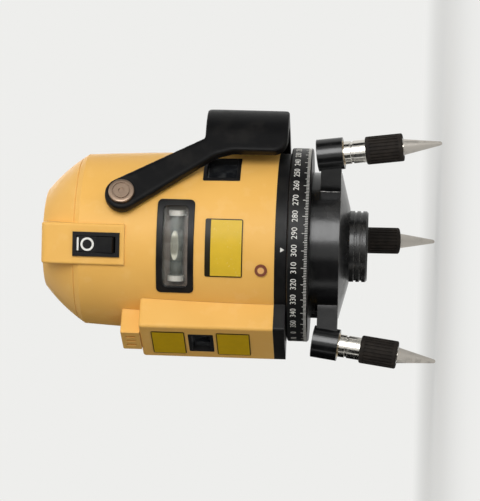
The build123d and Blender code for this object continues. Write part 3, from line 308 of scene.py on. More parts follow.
def settle(piece, name, body, slot, material, *replaced):
    """Finish a new piece: name, finish, smooth faces, and the body that it rides on."""
    piece.name = name
    piece.data.name = name
    piece.data.materials.clear()
    piece.data.materials.append(material)
    choose(piece)
    bpy.ops.object.shade_smooth_by_angle(angle=radians(32))
    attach(piece, body)
    if replaced:
        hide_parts(*replaced)
    print(name, "rides on", body, "with", len(piece.data.polygons), "faces")


# %% [markdown]
# ## Yellow shell
#
# The housing, cap, switch tower, emitter box and battery cover are moulded in one tan-yellow plastic.
# Seen close, such a moulding has a fine etched grain, slightly uneven colour, a few dull rub marks and
# paler edges. A mix of noise patterns gives all of these without any picture.

# %% Yellow shell
def yellow_shell():
    finish = Finish("yellow_shell")
    tone = finish.mix(finish.cloud(22 * MM, 3.0), colour(238, 186, 99), colour(231, 176, 87))
    rub = finish.cloud(9 * MM, 6.0).above(0.60, 0.06)
    rubbed = finish.mix(rub * 0.12, tone, colour(244, 206, 142))
    edge = finish.edges(0.5 * MM)
    worn = finish.mix(edge * 0.35, rubbed, colour(250, 218, 160))
    grain = finish.cloud(0.45 * MM, 2.0)
    return finish.feed({
        "Base Color": worn,
        "Roughness": 0.40 + 0.10 * finish.cloud(6 * MM) + 0.08 * rub,
        "Normal": finish.relief(grain, 0.035 * MM),
        "Specular IOR Level": 0.22,
    })


shell = yellow_shell()
dress(["main_housing", "top_cap", "switch_tower", "emitter_box", "battery_cover"], shell)
print("yellow shell on", len(finishes), "solids")

# %% [markdown]
# ## Printed plates
#
# Blank plates are stuck under the vial and on both sides of the front window. They are yellow film with
# a thin dark border, and the one under the vial has a dark band along its upper edge. The masks come
# from the distance to the plate's own edges, measured across and up from its middle.

# %% Printed plates
def printed_plate(name, tone, across_way, middle, size, band):
    """A film of a width and a height, with a border and a band along its upper edge."""
    finish = Finish(name)
    width, height = size
    across = abs(finish.along(across_way) - middle.dot(across_way))
    up = finish.along(UP) - middle.z
    to_edge = (width / 2 - across).least(height / 2 - abs(up))
    border = 1 - to_edge.above(0.55 * MM, 0.08 * MM)
    strip = up.above(height / 2 - band, 0.08 * MM)
    printed = border.most(strip)
    cloudy = finish.mix(finish.cloud(5 * MM, 4.0), tone, [0.86 * part for part in tone[:3]] + [1.0])
    scratch = finish.cloud(1.2 * MM, 5.0).above(0.66, 0.04)
    faded = finish.mix(scratch * 0.15, cloudy, colour(240, 226, 170))
    return finish.feed({
        "Base Color": finish.mix(printed, faded, colour(36, 32, 22)),
        "Roughness": 0.26 + 0.12 * finish.cloud(3 * MM),
        "Normal": finish.relief(finish.cloud(1.5 * MM), 0.02 * MM, 0.1 * MM),
        "Specular IOR Level": 0.15,
    })


def middle_of(node):
    """The middle of a solid's box."""
    low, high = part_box(node)
    return (low + high) / 2


plate_size = (31 * MM, 20 * MM)
plate_band = 3 * MM
plate_reach = 49 * MM
plate_tone = colour(222, 184, 52)
plate_middle = panel_out * plate_reach + UP * middle_of("side_plate").z
side_film = printed_plate("side_plate_film", plate_tone, panel_along, plate_middle, plate_size, plate_band)
dress(["side_plate"], side_film)


def front_film():
    """Two plates on the box share one film: both are measured from the nearer one's middle."""
    finish = Finish("front_plate_film")
    low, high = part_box("front_plates")
    half_width = (high.x - low.x) / 2
    plate_height = 18 * MM
    from_window = abs(finish.along(UP) - (low.z + high.z) / 2)
    up = abs(from_window - ((high.z - low.z) / 2 - plate_height / 2))
    to_edge = (half_width - abs(finish.along((1, 0, 0)))).least(plate_height / 2 - up)
    border = 1 - to_edge.above(0.5 * MM, 0.08 * MM)
    tone = finish.mix(finish.cloud(5 * MM, 4.0), colour(214, 174, 14), colour(196, 158, 10))
    return finish.feed({
        "Base Color": finish.mix(border, tone, colour(46, 40, 20)),
        "Roughness": 0.28 + 0.12 * finish.cloud(3 * MM),
        "Normal": finish.relief(finish.cloud(1.5 * MM), 0.02 * MM, 0.1 * MM),
        "Specular IOR Level": 0.15,
    })


dress(["front_plates"], front_film())
print("films on", plate_size, "and the front plates")

# %% [markdown]
# ## Black plastics and paint
#
# The skirt, dial, switch, bezel and window frames are black moulded plastic, satin with a fine grain.
# The base casting and its hub are glossy black paint on metal, with the faint orange peel of sprayed
# paint and grey metal at knocked edges. Dust lightens broad patches a little.

# %% Black plastics and paint
def black_plastic(name, roughness, grain_depth, gloss=0.18):
    finish = Finish(name)
    dust = finish.cloud(14 * MM, 5.0).above(0.58, 0.12)
    tone = finish.mix(dust * 0.08, colour(13, 13, 14), colour(80, 76, 70))
    edge = finish.edges(0.4 * MM)
    return finish.feed({
        "Base Color": finish.mix(edge * 0.35, tone, colour(62, 61, 60)),
        "Roughness": roughness + 0.12 * finish.cloud(4 * MM) + 0.10 * dust,
        "Normal": finish.relief(finish.cloud(0.4 * MM), grain_depth),
        "Specular IOR Level": gloss,
    })


def black_paint():
    finish = Finish("black_paint")
    knock = finish.edges(0.5 * MM) * finish.cloud(2.5 * MM, 4.0).above(0.50, 0.08)
    dust = finish.cloud(12 * MM, 5.0).above(0.60, 0.12)
    tone = finish.mix(dust * 0.08, colour(12, 12, 13), colour(80, 76, 70))
    return finish.feed({
        "Base Color": finish.mix(knock * 0.8, tone, colour(150, 148, 144)),
        "Metallic": knock * 0.7,
        "Roughness": 0.16 + 0.10 * finish.cloud(5 * MM) + 0.10 * dust,
        "Normal": finish.relief(finish.cloud(1.3 * MM), 0.03 * MM),
        "Specular IOR Level": 0.5,
    })


moulded = black_plastic("black_moulded", 0.30, 0.03 * MM)
matt = black_plastic("black_matt", 0.44, 0.05 * MM)
paint = black_paint()
dress(["bottom_skirt", "dial_ring", "switch_can", "switch_rocker", "vial_bezel"], moulded)
dress(["side_frames", "front_frame", "handle_spacers", "battery_holder", "board_components"], matt)
dress(["base_casting", "tripod_hub"], paint)
print("black finishes on", sorted(name for name in finishes if finishes[name] in (moulded, matt, paint)))

# %% [markdown]
# ## Turned metals
#
# Collars, spikes, screws, bushes and the gimbal parts come off a lathe. Turning leaves fine rings that
# only change along the part's own axis, so the pattern is noise read along that axis alone. The feet
# lean outwards, so each foot has its own axis and its own finish.

# %% Turned metals
def turned_metal(name, tone, axis, roughness, ring_size=0.35 * MM):
    finish = Finish(name)
    rings = finish.streaks(ring_size, axis)
    stain = finish.cloud(4 * MM, 5.0).above(0.56, 0.10)
    dull = [0.72 * part for part in tone[:3]] + [1.0]
    return finish.feed({
        "Base Color": finish.mix(stain * 0.35, tone, dull),
        "Metallic": 1.0,
        "Roughness": roughness + 0.12 * rings + 0.10 * stain,
        "Normal": finish.relief(rings, 0.012 * MM, 0.3 * MM),
    })


nickel = colour(226, 222, 214)
for number in (1, 2, 3):
    foot_axis = joints[f"foot_{number}_turn"]["axis"]
    foot_nickel = turned_metal(f"foot_{number}_nickel", nickel, foot_axis, 0.12)
    dress([f"foot_{number}_stem"], foot_nickel)
    foot_steel = turned_metal(f"foot_{number}_steel", colour(204, 198, 190), foot_axis, 0.07)
    dress([f"foot_{number}_spike"], foot_steel)
steel = turned_metal("steel", colour(180, 180, 182), UP, 0.26)
dress(["dial_screws", "head_screws", "azimuth_spindle", "retaining_ring", "pivot_nuts"], steel)
dress(["gimbal_pins", "pendulum_pin", "battery_contacts"], steel)
aluminium = turned_metal("aluminium", colour(206, 207, 208), UP, 0.30)
dress(["gimbal_plate", "gimbal_ring", "pendulum_stem", "laser_carrier"], aluminium)
brass = turned_metal("brass", colour(205, 172, 98), UP, 0.24)
dress(["foot_bushes", "spindle_bush", "thrust_washer"], brass)
dress(["front_lasers", "side_lasers", "plumb_laser"], brass)
dress(["damping_disc"], turned_metal("copper", colour(206, 132, 100), UP, 0.24))
dress(["damping_magnet"], turned_metal("magnet", colour(168, 168, 170), UP, 0.30))
print("turned metals in", len(finishes), "solids so far")

# %% [markdown]
# ## Glass, rubber and the parts inside
#
# Window glass is dark and polished with faint smears. The vial's lens and tube are clear: a low Alpha
# lets the tray behind them stay lit, which bent glass would not do here. The plug is reddish rubber with
# a paler middle. The board, cells and vial tray show when the cover slides off or through the lens.

# %% Glass, rubber and the parts inside
def glass(name, tone, alpha):
    finish = Finish(name)
    smear = finish.cloud(5 * MM, 5.0).above(0.55, 0.12)
    return finish.feed({
        "Base Color": finish.mix(smear * 0.15, tone, colour(150, 152, 150)),
        "Roughness": 0.03 + 0.10 * smear,
        "Alpha": alpha + 0.05 * smear,
        "Coat Weight": 1.0,
        "Coat Roughness": 0.02,
        "Specular IOR Level": 0.8,
    })


def rubber(name, tone, pale):
    finish = Finish(name)
    bloom = finish.cloud(6 * MM, 5.0).above(0.52, 0.14)
    edge = finish.edges(0.4 * MM)
    return finish.feed({
        "Base Color": finish.mix((bloom * 0.25).most(edge * 0.3), tone, pale),
        "Roughness": 0.66 + 0.14 * finish.cloud(2 * MM),
        "Normal": finish.relief(finish.cloud(0.5 * MM, 3.0), 0.06 * MM),
        "Specular IOR Level": 0.2,
    })


def plug_rubber():
    finish = Finish("plug_rubber")
    middle = middle_of("adjustment_plug")
    moved = {0: finish.place, 1: middle}
    offset = finish.node("ShaderNodeVectorMath", {"operation": "SUBTRACT"}, moved)
    reach = finish.node("ShaderNodeVectorMath", {"operation": "LENGTH"}, {0: offset}, "Value")
    ring = reach.above(3.1 * MM, 0.15 * MM)
    tone = finish.mix(finish.cloud(1.5 * MM), colour(128, 66, 40), colour(106, 52, 32))
    return finish.feed({
        "Base Color": finish.mix(ring, colour(226, 172, 104), tone),
        "Roughness": 0.5 + 0.2 * finish.cloud(1 * MM),
        "Normal": finish.relief(finish.cloud(0.4 * MM), 0.03 * MM),
    })


def moulding(name, tone, shade, roughness):
    finish = Finish(name)
    return finish.feed({
        "Base Color": finish.mix(finish.cloud(4 * MM, 4.0), tone, shade),
        "Roughness": roughness + 0.15 * finish.cloud(2 * MM),
        "Normal": finish.relief(finish.cloud(0.4 * MM), 0.03 * MM),
    })


def cell_sleeve():
    """A dark sleeve with a copper-coloured shoulder and bright ends."""
    finish = Finish("cell_sleeve")
    low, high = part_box("battery_cells")
    level = finish.along(UP)
    top = level.above(high.z - 14 * MM, 0.1 * MM)
    ends = level.above(high.z - 1.4 * MM, 0.1 * MM).most(1 - level.above(low.z + 0.8 * MM, 0.1 * MM))
    sleeve = finish.mix(top, colour(34, 34, 38), colour(186, 120, 66))
    return finish.feed({
        "Base Color": finish.mix(ends, sleeve, colour(190, 190, 190)),
        "Metallic": 0.3 * top + 0.6 * ends,
        "Roughness": 0.25 + 0.12 * finish.cloud(3 * MM),
        "Normal": finish.relief(finish.cloud(2 * MM), 0.02 * MM),
    })


def circuit_green():
    """Solder mask with paler copper runs under it, on a square grid."""
    finish = Finish("circuit_green")
    settings = {"feature": "F1", "distance": "CHEBYCHEV"}
    cells = finish.node("ShaderNodeTexVoronoi", settings, {"Vector": finish.place, "Scale": 1 / (3 * MM)})
    runs = cells.above(0.55, 0.05)
    return finish.feed({
        "Base Color": finish.mix(runs, colour(24, 92, 50), colour(44, 128, 70)),
        "Roughness": 0.3 + 0.1 * finish.cloud(2 * MM),
        "Normal": finish.relief(runs, 0.04 * MM),
    })


dress(["front_glass", "side_glasses"], glass("window_glass", colour(30, 32, 36), 0.80))
clear = glass("clear_glass", colour(214, 222, 216), 0.03)
dress(["vial_lens", "vial_tube"], clear)
dress(["adjustment_plug"], plug_rubber())
dress(["vial_tray"], moulding("tray_grey", colour(122, 103, 88), colour(103, 86, 73), 0.5))
dress(["vial_caps"], moulding("cap_white", colour(212, 208, 197), colour(194, 189, 178), 0.35))
dress(["battery_cells"], cell_sleeve())
dress(["circuit_board"], circuit_green())
grip_rubber = rubber("grip_rubber", colour(25, 21, 18), colour(66, 58, 51))
white_paint = moulding("white_paint", colour(236, 235, 230), colour(216, 214, 206), 0.45)
print("finishes on", len(finishes), "of", len(nodes), "solids")

# %% [markdown]
# ## Dial numbers
#
# The fixed dial counts degrees round the base: a white number every ten, clockwise as seen from above.
# Text objects are the natural start. Each is made a mesh and then bent round the dial, because flat
# words would stand off the curved rim at their ends.

# %% Dial numbers
dial_low, dial_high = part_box("dial_ring")
dial_radius = dial_high.x
number_size = 4.4 * MM
number_level = dial_high.z - 3.9 * MM
paint_depth = 0.16 * MM
numbers = []
for reading in range(0, 360, 10):
    fresh()
    bpy.ops.object.text_add()
    number = bpy.context.object
    number.data.body = str(reading)
    number.data.size = number_size
    number.data.align_x = "CENTER"
    number.data.align_y = "CENTER"
    number.data.extrude = paint_depth / 2
    number.data.resolution_u = 3
    bpy.ops.object.convert(target="MESH")
    wrap(number, -reading, dial_radius, number_level)
    numbers.append(number)
dial_numbers = choose(*numbers)
bpy.ops.object.join()
edit(dial_numbers)
bpy.ops.mesh.remove_doubles(threshold=0.002 * MM)
fresh()
settle(dial_numbers, "dial_numbers", "base", "white_plastic", white_paint)

# %% [markdown]
# ## Dial ticks
#
# Below the numbers runs a scale of single degrees, with longer ticks at five and ten. One group of ten
# ticks is modelled from small blocks, and Spin then copies the group round the dial.

# %% Dial ticks
tick_width = 0.26 * MM
tick_foot = dial_low.z + 0.7 * MM
ten_tick = 3.0 * MM
five_tick = 2.2 * MM
one_tick = 1.5 * MM
tick_lengths = [ten_tick] + [one_tick] * 4 + [five_tick] + [one_tick] * 4
ticks = []
for step, length in enumerate(tick_lengths):
    fresh()
    bpy.ops.mesh.primitive_cube_add(size=1)
    tick = bpy.context.object
    put(tick, Matrix.Diagonal((tick_width, length, paint_depth, 1)))
    wrap(tick, step, dial_radius, tick_foot + length / 2)
    ticks.append(tick)
dial_ticks = choose(*ticks)
bpy.ops.object.join()
edit(dial_ticks)
groups = 36
bpy.ops.mesh.spin(
    steps=groups - 1, dupli=True, angle=tau * (groups - 1) / groups, center=(0, 0, 0), axis=(0, 0, 1)
)
fresh()
settle(dial_ticks, "dial_ticks", "base", "white_plastic", white_paint)

# %% [markdown]
# ## Index mark
#
# A small white wedge on the turning skirt points down at the dial and shows the reading. A three-sided
# disc is the wedge; it is thickened and bent onto the skirt.

# %% Index mark
skirt_low, skirt_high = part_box("bottom_skirt")
skirt_radius = skirt_high.x
wedge_radius = 1.5 * MM
wedge_rise = 2.4 * MM
fresh()
bpy.ops.mesh.primitive_cylinder_add(vertices=3, radius=wedge_radius, depth=paint_depth)
index_mark = bpy.context.object
edit(index_mark)
bpy.ops.transform.rotate(value=pi, orient_axis="Z", center_override=(0, 0, 0))
bpy.ops.mesh.subdivide(number_cuts=2)
fresh()
wrap(index_mark, PANEL, skirt_radius, skirt_low.z + wedge_rise)
settle(index_mark, "index_mark", "head", "white_plastic", white_paint)

# %% [markdown]
# ## Switch marks
#
# The rocker carries the usual bar and ring. The bar is a block with softened corners. The ring starts as
# a disc whose two faces are inset, emptied and bridged, so that it is a real ring and not a picture.

# %% Switch marks
tower_tilt = radians(2.5)  # how far the switch leans back
switch_across = panel_along
switch_out = panel_out * cos(tower_tilt) + UP * sin(tower_tilt)
switch_up = switch_out.cross(switch_across)
pin_drop = 1.0 * MM  # the rocker's pin below the seat of the switch
switch_middle = Vector(joints["switch_tip"]["pos_m"]) + switch_out * pin_drop
flange = 1.2 * MM
mark_depth = 0.2 * MM


def on_switch(height):
    """A place on the rocker's upper half, this far up from its middle."""
    origin = switch_middle + switch_up * height + switch_out * flange
    return axes_matrix(switch_across, switch_up, switch_out, origin)


def hoop(radius, wall, depth):
    """A flat ring round Z: a disc whose two faces are inset, emptied and bridged."""
    fresh()
    bpy.ops.mesh.primitive_cylinder_add(vertices=48, radius=radius, depth=depth)
    piece = bpy.context.object
    edit(piece)
    pick_faces(piece, lambda middle, normal: abs(normal.z) > 0.9)
    bpy.ops.mesh.inset(thickness=wall)
    bpy.ops.mesh.delete(type="FACE")
    inside = radius - wall / 2
    pick_edges(piece, lambda a, b: max(a.xy.length, b.xy.length) < inside and a.z == b.z)
    bpy.ops.mesh.bridge_edge_loops()
    bpy.ops.mesh.select_all(action="SELECT")
    bpy.ops.mesh.normals_make_consistent(inside=False)
    return piece


bar_width = 7.0 * MM
bar_stroke = 1.0 * MM
bar_rise = 9.7 * MM
bar_corner = 0.3 * MM
fresh()
bpy.ops.mesh.primitive_cube_add(size=1)
bar = bpy.context.object
put(bar, Matrix.Diagonal((bar_width, bar_stroke, mark_depth, 1)))
edit(bar)
pick_edges(bar, lambda a, b: abs(a.z - b.z) > mark_depth / 2)
bpy.ops.mesh.bevel(offset=bar_corner, segments=3, affect="EDGES")
put(bar, on_switch(bar_rise))

ring_radius = 3.6 * MM
ring_stroke = 1.1 * MM
ring_rise = 4.6 * MM
ring = hoop(ring_radius, ring_stroke, mark_depth)
put(ring, on_switch(ring_rise))
switch_marks = choose(bar, ring)
bpy.ops.object.join()
settle(switch_marks, "switch_marks", "rocker", "white_plastic", white_paint)

# %% [markdown]
# ## Vial fluid and bubble
#
# The tube is filled with a green fluid and a bubble that floats to the top. The bubble is a stretched
# ball. The fluid is a cylinder with softened ends from which the bubble's room is cut by a Boolean, so
# that light really passes through less fluid there. A real bubble shows as glints, brightest at its ends;
# a faint glow stands in for them here. Two dark rings inside the glass frame the bubble.

# %% Vial fluid and bubble
vial_middle = middle_of("vial_tube")
vial_place = axes_matrix(UP, panel_out, panel_along, vial_middle)
bore = 3.3 * MM
glass_length = 32 * MM
bubble_length = 16 * MM
bubble_size = (4.4 * MM, 5.2 * MM, bubble_length - 0.3 * MM)
room_size = (4.6 * MM, 5.4 * MM, bubble_length)
glint_start = 0.3 * bubble_length
end_gap = 0.2 * MM
end_round = 0.5 * MM


def tinted(name, tone, shade, alpha, roughness):
    finish = Finish(name)
    swirl = finish.cloud(3 * MM, 3.0)
    return finish.feed({
        "Base Color": finish.mix(swirl, tone, shade),
        "Alpha": alpha + 0.08 * swirl,
        "Roughness": roughness + 0.05 * swirl,
        "Coat Weight": 1.0,
        "Coat Roughness": 0.02,
    })


def caught_light():
    """A pale skin with a faint painted glow, brighter at both ends as painted glints, without which the
    bubble can hardly be seen in its tube.
    """
    finish = Finish("bubble_skin")
    swirl = finish.cloud(3 * MM, 3.0)
    end = finish.along(panel_along) - vial_middle.dot(panel_along)
    # Painted glints: the mask is 1 near both ends of the bubble, where the glow is strongest.
    painted_glint_mask = end.above(glint_start, 1 * MM).most(1 - end.above(-glint_start, 1 * MM))
    return finish.feed({
        "Base Color": finish.mix(swirl, colour(240, 238, 224), colour(226, 224, 208)),
        # Painted glow: dim along the whole bubble, bright at its ends as painted glints.
        "Emission Color": finish.mix(painted_glint_mask, colour(112, 108, 96), colour(206, 202, 186)),
        "Emission Strength": 1.0,
        "Alpha": 0.8,
        "Roughness": 0.04 + 0.05 * swirl,
    })


def ball(size):
    """A stretched ball against the top of the bore, in the tube's own axes."""
    fresh()
    bpy.ops.mesh.primitive_uv_sphere_add(segments=40, ring_count=24, radius=1)
    piece = bpy.context.object
    across, deep, long = size
    scaled = Matrix.Diagonal((across / 2, deep / 2, long / 2, 1))
    put(piece, vial_place @ Matrix.Translation((bore - across / 2, 0, 0)) @ scaled)
    return piece


fresh()
bpy.ops.mesh.primitive_cylinder_add(vertices=48, radius=bore, depth=glass_length - end_gap)
fluid = bpy.context.object
edit(fluid)
pick_edges(fluid, lambda a, b: abs(a.z - b.z) < 0.1 * MM)
bpy.ops.mesh.bevel(offset=end_round, segments=3, affect="EDGES")
put(fluid, vial_place)
room = ball(room_size)
cut = fluid.modifiers.new("bubble_room", "BOOLEAN")
cut.object = room
apply_all(fluid)
bpy.data.objects.remove(room)
fluid_green = tinted("fluid_green", colour(132, 128, 98), colour(118, 114, 84), 0.13, 0.05)
settle(fluid, "vial_fluid", "head", "clear_glass", fluid_green)
bubble = ball(bubble_size)
settle(bubble, "vial_bubble", "head", "clear_glass", caught_light())

line_width = 0.45 * MM
line_offset = bubble_length / 2 + 0.6 * MM
line_depth = 0.06 * MM
lines = []
for side in (-1, 1):
    line = hoop(bore + line_depth, line_depth / 2, line_width)
    put(line, vial_place @ Matrix.Translation((0, 0, side * line_offset)))
    lines.append(line)
hairlines = choose(*lines)
bpy.ops.object.join()
settle(hairlines, "vial_hairlines", "head", "black_plastic", matt)

# %% [markdown]
# ## Pivot screws
#
# The handle hangs on two bright screws with broad turned heads. A plain disc would look like a coin, so
# each head is worked as on a lathe: a soft rim, a ring groove, a slightly raised land and a dimple in
# the middle. The shank that reaches to the nut inside is part of the same piece.

# %% Pivot screws
head_radius = 6.9 * MM
head_height = 2.2 * MM
shank_radius = 3.0 * MM
nut_length = 4 * MM
rim_round = 0.7 * MM
rim_width = 1.3 * MM
groove_width = 0.7 * MM
groove_depth = 0.7 * MM
groove_inner = 4.3 * MM
groove_outer = 4.8 * MM
land_width = 2.2 * MM
dimple_slope = 0.4 * MM
dimple_depth = 0.7 * MM
centre_reach = 1 * MM
pivot_low, pivot_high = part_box("pivot_screws")
pivot_level = (pivot_low.z + pivot_high.z) / 2
nut_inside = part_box("pivot_nuts")[1].x - nut_length
fresh()
bpy.ops.mesh.primitive_cylinder_add(vertices=72, radius=head_radius, depth=head_height)
screw = bpy.context.object
edit(screw)
top = head_height / 2


def top_faces(inner, outer):
    """The faces of the head's top between two radii."""
    pick_faces(screw, lambda middle, normal: normal.z > 0.9 and inner <= middle.xy.length < outer)


pick_edges(screw, lambda a, b: a.z > top * 0.9 and b.z > top * 0.9)
bpy.ops.mesh.bevel(offset=rim_round, segments=4, affect="EDGES")
top_faces(0, centre_reach)
bpy.ops.mesh.inset(thickness=rim_width)
bpy.ops.mesh.inset(thickness=groove_width)
top_faces(groove_inner, groove_outer)
push(-groove_depth)
top_faces(0, centre_reach)
bpy.ops.mesh.inset(thickness=land_width)
bpy.ops.mesh.inset(thickness=dimple_slope)
push(-dimple_depth)
pick_faces(screw, lambda middle, normal: normal.z < -0.9)
bpy.ops.mesh.inset(thickness=head_radius - shank_radius)
push(nut_inside - pivot_high.x + head_height)
put(screw, axes_matrix((0, 1, 0), (0, 0, 1), (1, 0, 0), (pivot_high.x - top, 0, pivot_level)))
bpy.ops.object.duplicate()
twin = bpy.context.object
put(twin, Matrix.Rotation(pi, 4, "Z"))
pivot_pair = choose(screw, twin)
bpy.ops.object.join()


def turned_face():
    """Nickel whose lathe rings run round the pivots' own level axis."""
    finish = Finish("pivot_nickel")
    moved = {0: finish.place, 1: (0, 0, pivot_level)}
    offset = finish.node("ShaderNodeVectorMath", {"operation": "SUBTRACT"}, moved)
    flat = finish.node("ShaderNodeVectorMath", {"operation": "MULTIPLY"}, {0: offset, 1: (0, 1, 1)})
    reach = finish.node("ShaderNodeVectorMath", {"operation": "LENGTH"}, {0: flat}, "Value")
    rings = finish.cloud(0.3 * MM, 3.0, finish.node("ShaderNodeCombineXYZ", None, {0: reach}))
    stain = finish.cloud(3 * MM, 5.0).above(0.55, 0.1)
    return finish.feed({
        "Base Color": finish.mix(stain * 0.3, colour(146, 126, 109), colour(112, 95, 82)),
        "Metallic": 1.0,
        "Roughness": 0.24 + 0.14 * rings + 0.1 * stain,
        "Normal": finish.relief(rings, 0.015 * MM, 0.3 * MM),
    })


settle(pivot_pair, "pivot_heads", "head", "bright_metal", turned_face(), "pivot_screws")

# %% [markdown]
# ## Foot grips
#
# Each foot is turned by a ribbed rubber grip. A cylinder is drawn up in three steps, so that smooth bands
# stay at both ends, and every second strip of the middle is sunk. The bore is made by insetting both ends
# and bridging them. One grip is modelled and then copied to the three leaning feet.

# %% Foot grips
grip_radius = 7.5 * MM
grip_length = 20 * MM
grip_bore = 4.82 * MM
grip_end = -36.5 * MM  # along the foot's axis, from the middle of its ear
end_band = 2.2 * MM
rib_count = 24
strips = rib_count * 4
flute_depth = 0.55 * MM
grip_round = 0.9 * MM
band_middle = (0, 0, end_band / 2)
fresh()
bpy.ops.mesh.primitive_cylinder_add(vertices=strips, radius=grip_radius, depth=end_band, location=band_middle)
grip = bpy.context.object
bpy.ops.object.transform_apply(location=True, rotation=True, scale=True)
edit(grip)
pick_faces(grip, lambda middle, normal: normal.z > 0.9)
push(grip_length - 2 * end_band)
push(end_band)


def in_flute(middle, normal):
    """Strips of the middle stretch that lie in the sunk half of a rib's share of the round."""
    turn = degrees(Vector((1, 0)).angle_signed(middle.xy.normalized(), 0)) % (360 / rib_count)
    return abs(normal.z) < 0.1 and end_band < middle.z < grip_length - end_band and turn < 180 / rib_count


pick_faces(grip, in_flute)
bpy.ops.mesh.extrude_region_shrink_fatten(TRANSFORM_OT_shrink_fatten={"value": -flute_depth})
pick_edges(grip, lambda a, b: abs(a.z - b.z) < NEAR and (a.z < NEAR or a.z > grip_length - NEAR))
bpy.ops.mesh.bevel(offset=grip_round, segments=3, affect="EDGES")
pick_faces(grip, lambda middle, normal: abs(normal.z) > 0.99 and middle.xy.length < 1 * MM)
bpy.ops.mesh.inset(thickness=grip_radius - grip_round - grip_bore)
bpy.ops.mesh.delete(type="FACE")
pick_edges(grip, lambda a, b: a.xy.length < grip_bore * 1.02 and b.xy.length < grip_bore * 1.02)
bpy.ops.mesh.bridge_edge_loops()
bpy.ops.mesh.select_all(action="SELECT")
bpy.ops.mesh.normals_make_consistent(inside=False)
fresh()
for number in (1, 2, 3):
    foot = f"foot_{number}"
    joint = joints[f"{foot}_turn"]
    down = Vector(joint["axis"])
    across = UP.cross(down).normalized()
    choose(grip)
    bpy.ops.object.duplicate()
    one = bpy.context.object
    put(one, axes_matrix(across, (-down).cross(across), -down, Vector(joint["pos_m"]) - down * grip_end))
    settle(one, f"ribbed_grip_{number}", f"{foot}_screw", "black_rubber", grip_rubber, f"{foot}_grip")
bpy.data.objects.remove(grip)

# %% [markdown]
# ## Carry handle
#
# The bail is moulded with soft, rounded edges all over. Its solid has the right outline but hard edges,
# so a copy of that mesh is merged, rebuilt as an even skin of small squares with Remesh, and smoothed,
# which rounds every edge by about a millimetre and leaves the broad faces where they were.

# %% Carry handle
handle = bpy.data.objects.new("handle", nodes["carry_handle"].data.copy())
bpy.context.scene.collection.objects.link(handle)
edit(handle)
bpy.ops.mesh.remove_doubles(threshold=NEAR)
fresh()
skin = handle.modifiers.new("skin", "REMESH")
skin.mode = "VOXEL"
skin.voxel_size = 0.75 * MM
soften = handle.modifiers.new("soften", "SMOOTH")
soften.factor = 0.5
soften.iterations = 9
apply_all(handle)
handle_black = black_plastic("handle_black", 0.34, 0.04 * MM, 0.10)
settle(handle, "rounded_handle", "handle", "black_plastic", handle_black, "carry_handle")

# %% [markdown]
# ## Tripod thread
#
# The hub's hole takes the screw of a tripod. A flat ridge section set at the hole's wall becomes a real
# thread with the Screw modifier, which turns and lifts it at the same time.

# %% Tripod thread
thread_radius = 7.94 * MM
thread_pitch = 2.309 * MM
thread_depth = 1.25 * MM
thread_turns = 4
thread_start = (thread_radius, 0, 1.4 * MM)
ridge_half = 0.42 * thread_pitch
steps_a_turn = 48
fresh()
bpy.ops.mesh.primitive_circle_add(vertices=4, radius=1, fill_type="NOTHING")
ridge = bpy.context.object
put(ridge, axes_matrix((thread_depth, 0, 0), (0, 0, ridge_half), (0, 1, 0), thread_start))
twist = ridge.modifiers.new("twist", "SCREW")
twist.angle = tau
twist.screw_offset = thread_pitch
twist.iterations = thread_turns
twist.steps = steps_a_turn
twist.render_steps = steps_a_turn
apply_all(ridge)
edit(ridge)
bpy.ops.mesh.remove_doubles(threshold=NEAR)
bpy.ops.mesh.select_all(action="DESELECT")
bpy.ops.mesh.select_mode(type="EDGE")
bpy.ops.mesh.select_non_manifold()
bpy.ops.mesh.edge_face_add()
bpy.ops.mesh.select_all(action="SELECT")
bpy.ops.mesh.normals_make_consistent(inside=False)
fresh()
settle(ridge, "tripod_thread", "base", "steel", steel)

# %% [markdown]
# ## Ribs on the battery cover
#
# The cover on the far side is pulled off by a fingertip, so it has a few raised ribs beside its notch.
# One bar with rounded corners is bent onto the cover at each level.

# %% Ribs on the battery cover
cover_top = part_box("battery_cover")[1].z
cover_azimuth = -60
cover_rib_count = 5
cover_rib_size = (20 * MM, 1.2 * MM, 1.6 * MM)
cover_rib_round = 0.3 * MM
first_rib_drop = 11 * MM
rib_spacing = 2.4 * MM
side_height = 105 * MM
side_taper = 3.2 * MM
side_bulge = (side_height**2 + side_taper**2) / (2 * side_taper)
housing_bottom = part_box("main_housing")[0].z


def skin_radius(level):
    """Radius of the head's side, which leans in along a wide arc."""
    return skirt_radius - side_bulge + sqrt(side_bulge**2 - (level - housing_bottom) ** 2)


ribs = []
for step in range(cover_rib_count):
    level = cover_top - first_rib_drop - rib_spacing * step
    fresh()
    bpy.ops.mesh.primitive_cube_add(size=1)
    rib = bpy.context.object
    put(rib, Matrix.Diagonal((*cover_rib_size, 1)))
    edit(rib)
    bpy.ops.mesh.bevel(offset=cover_rib_round, segments=2, affect="EDGES")
    fresh()
    wrap(rib, cover_azimuth, skin_radius(level), level)
    ribs.append(rib)
cover_ribs = choose(*ribs)
bpy.ops.object.join()
settle(cover_ribs, "cover_ribs", "cover", "yellow_shell", shell)

# %% [markdown]
# ## Floor and light
#
# The floor and the world are the same pale tone, so that no horizon shows behind the level. Near the feet
# the floor is a plain surface that keeps the shadow; further out it turns into the tone of the world.
# A large soft lamp near the camera is the main light, with weaker ones above and behind.

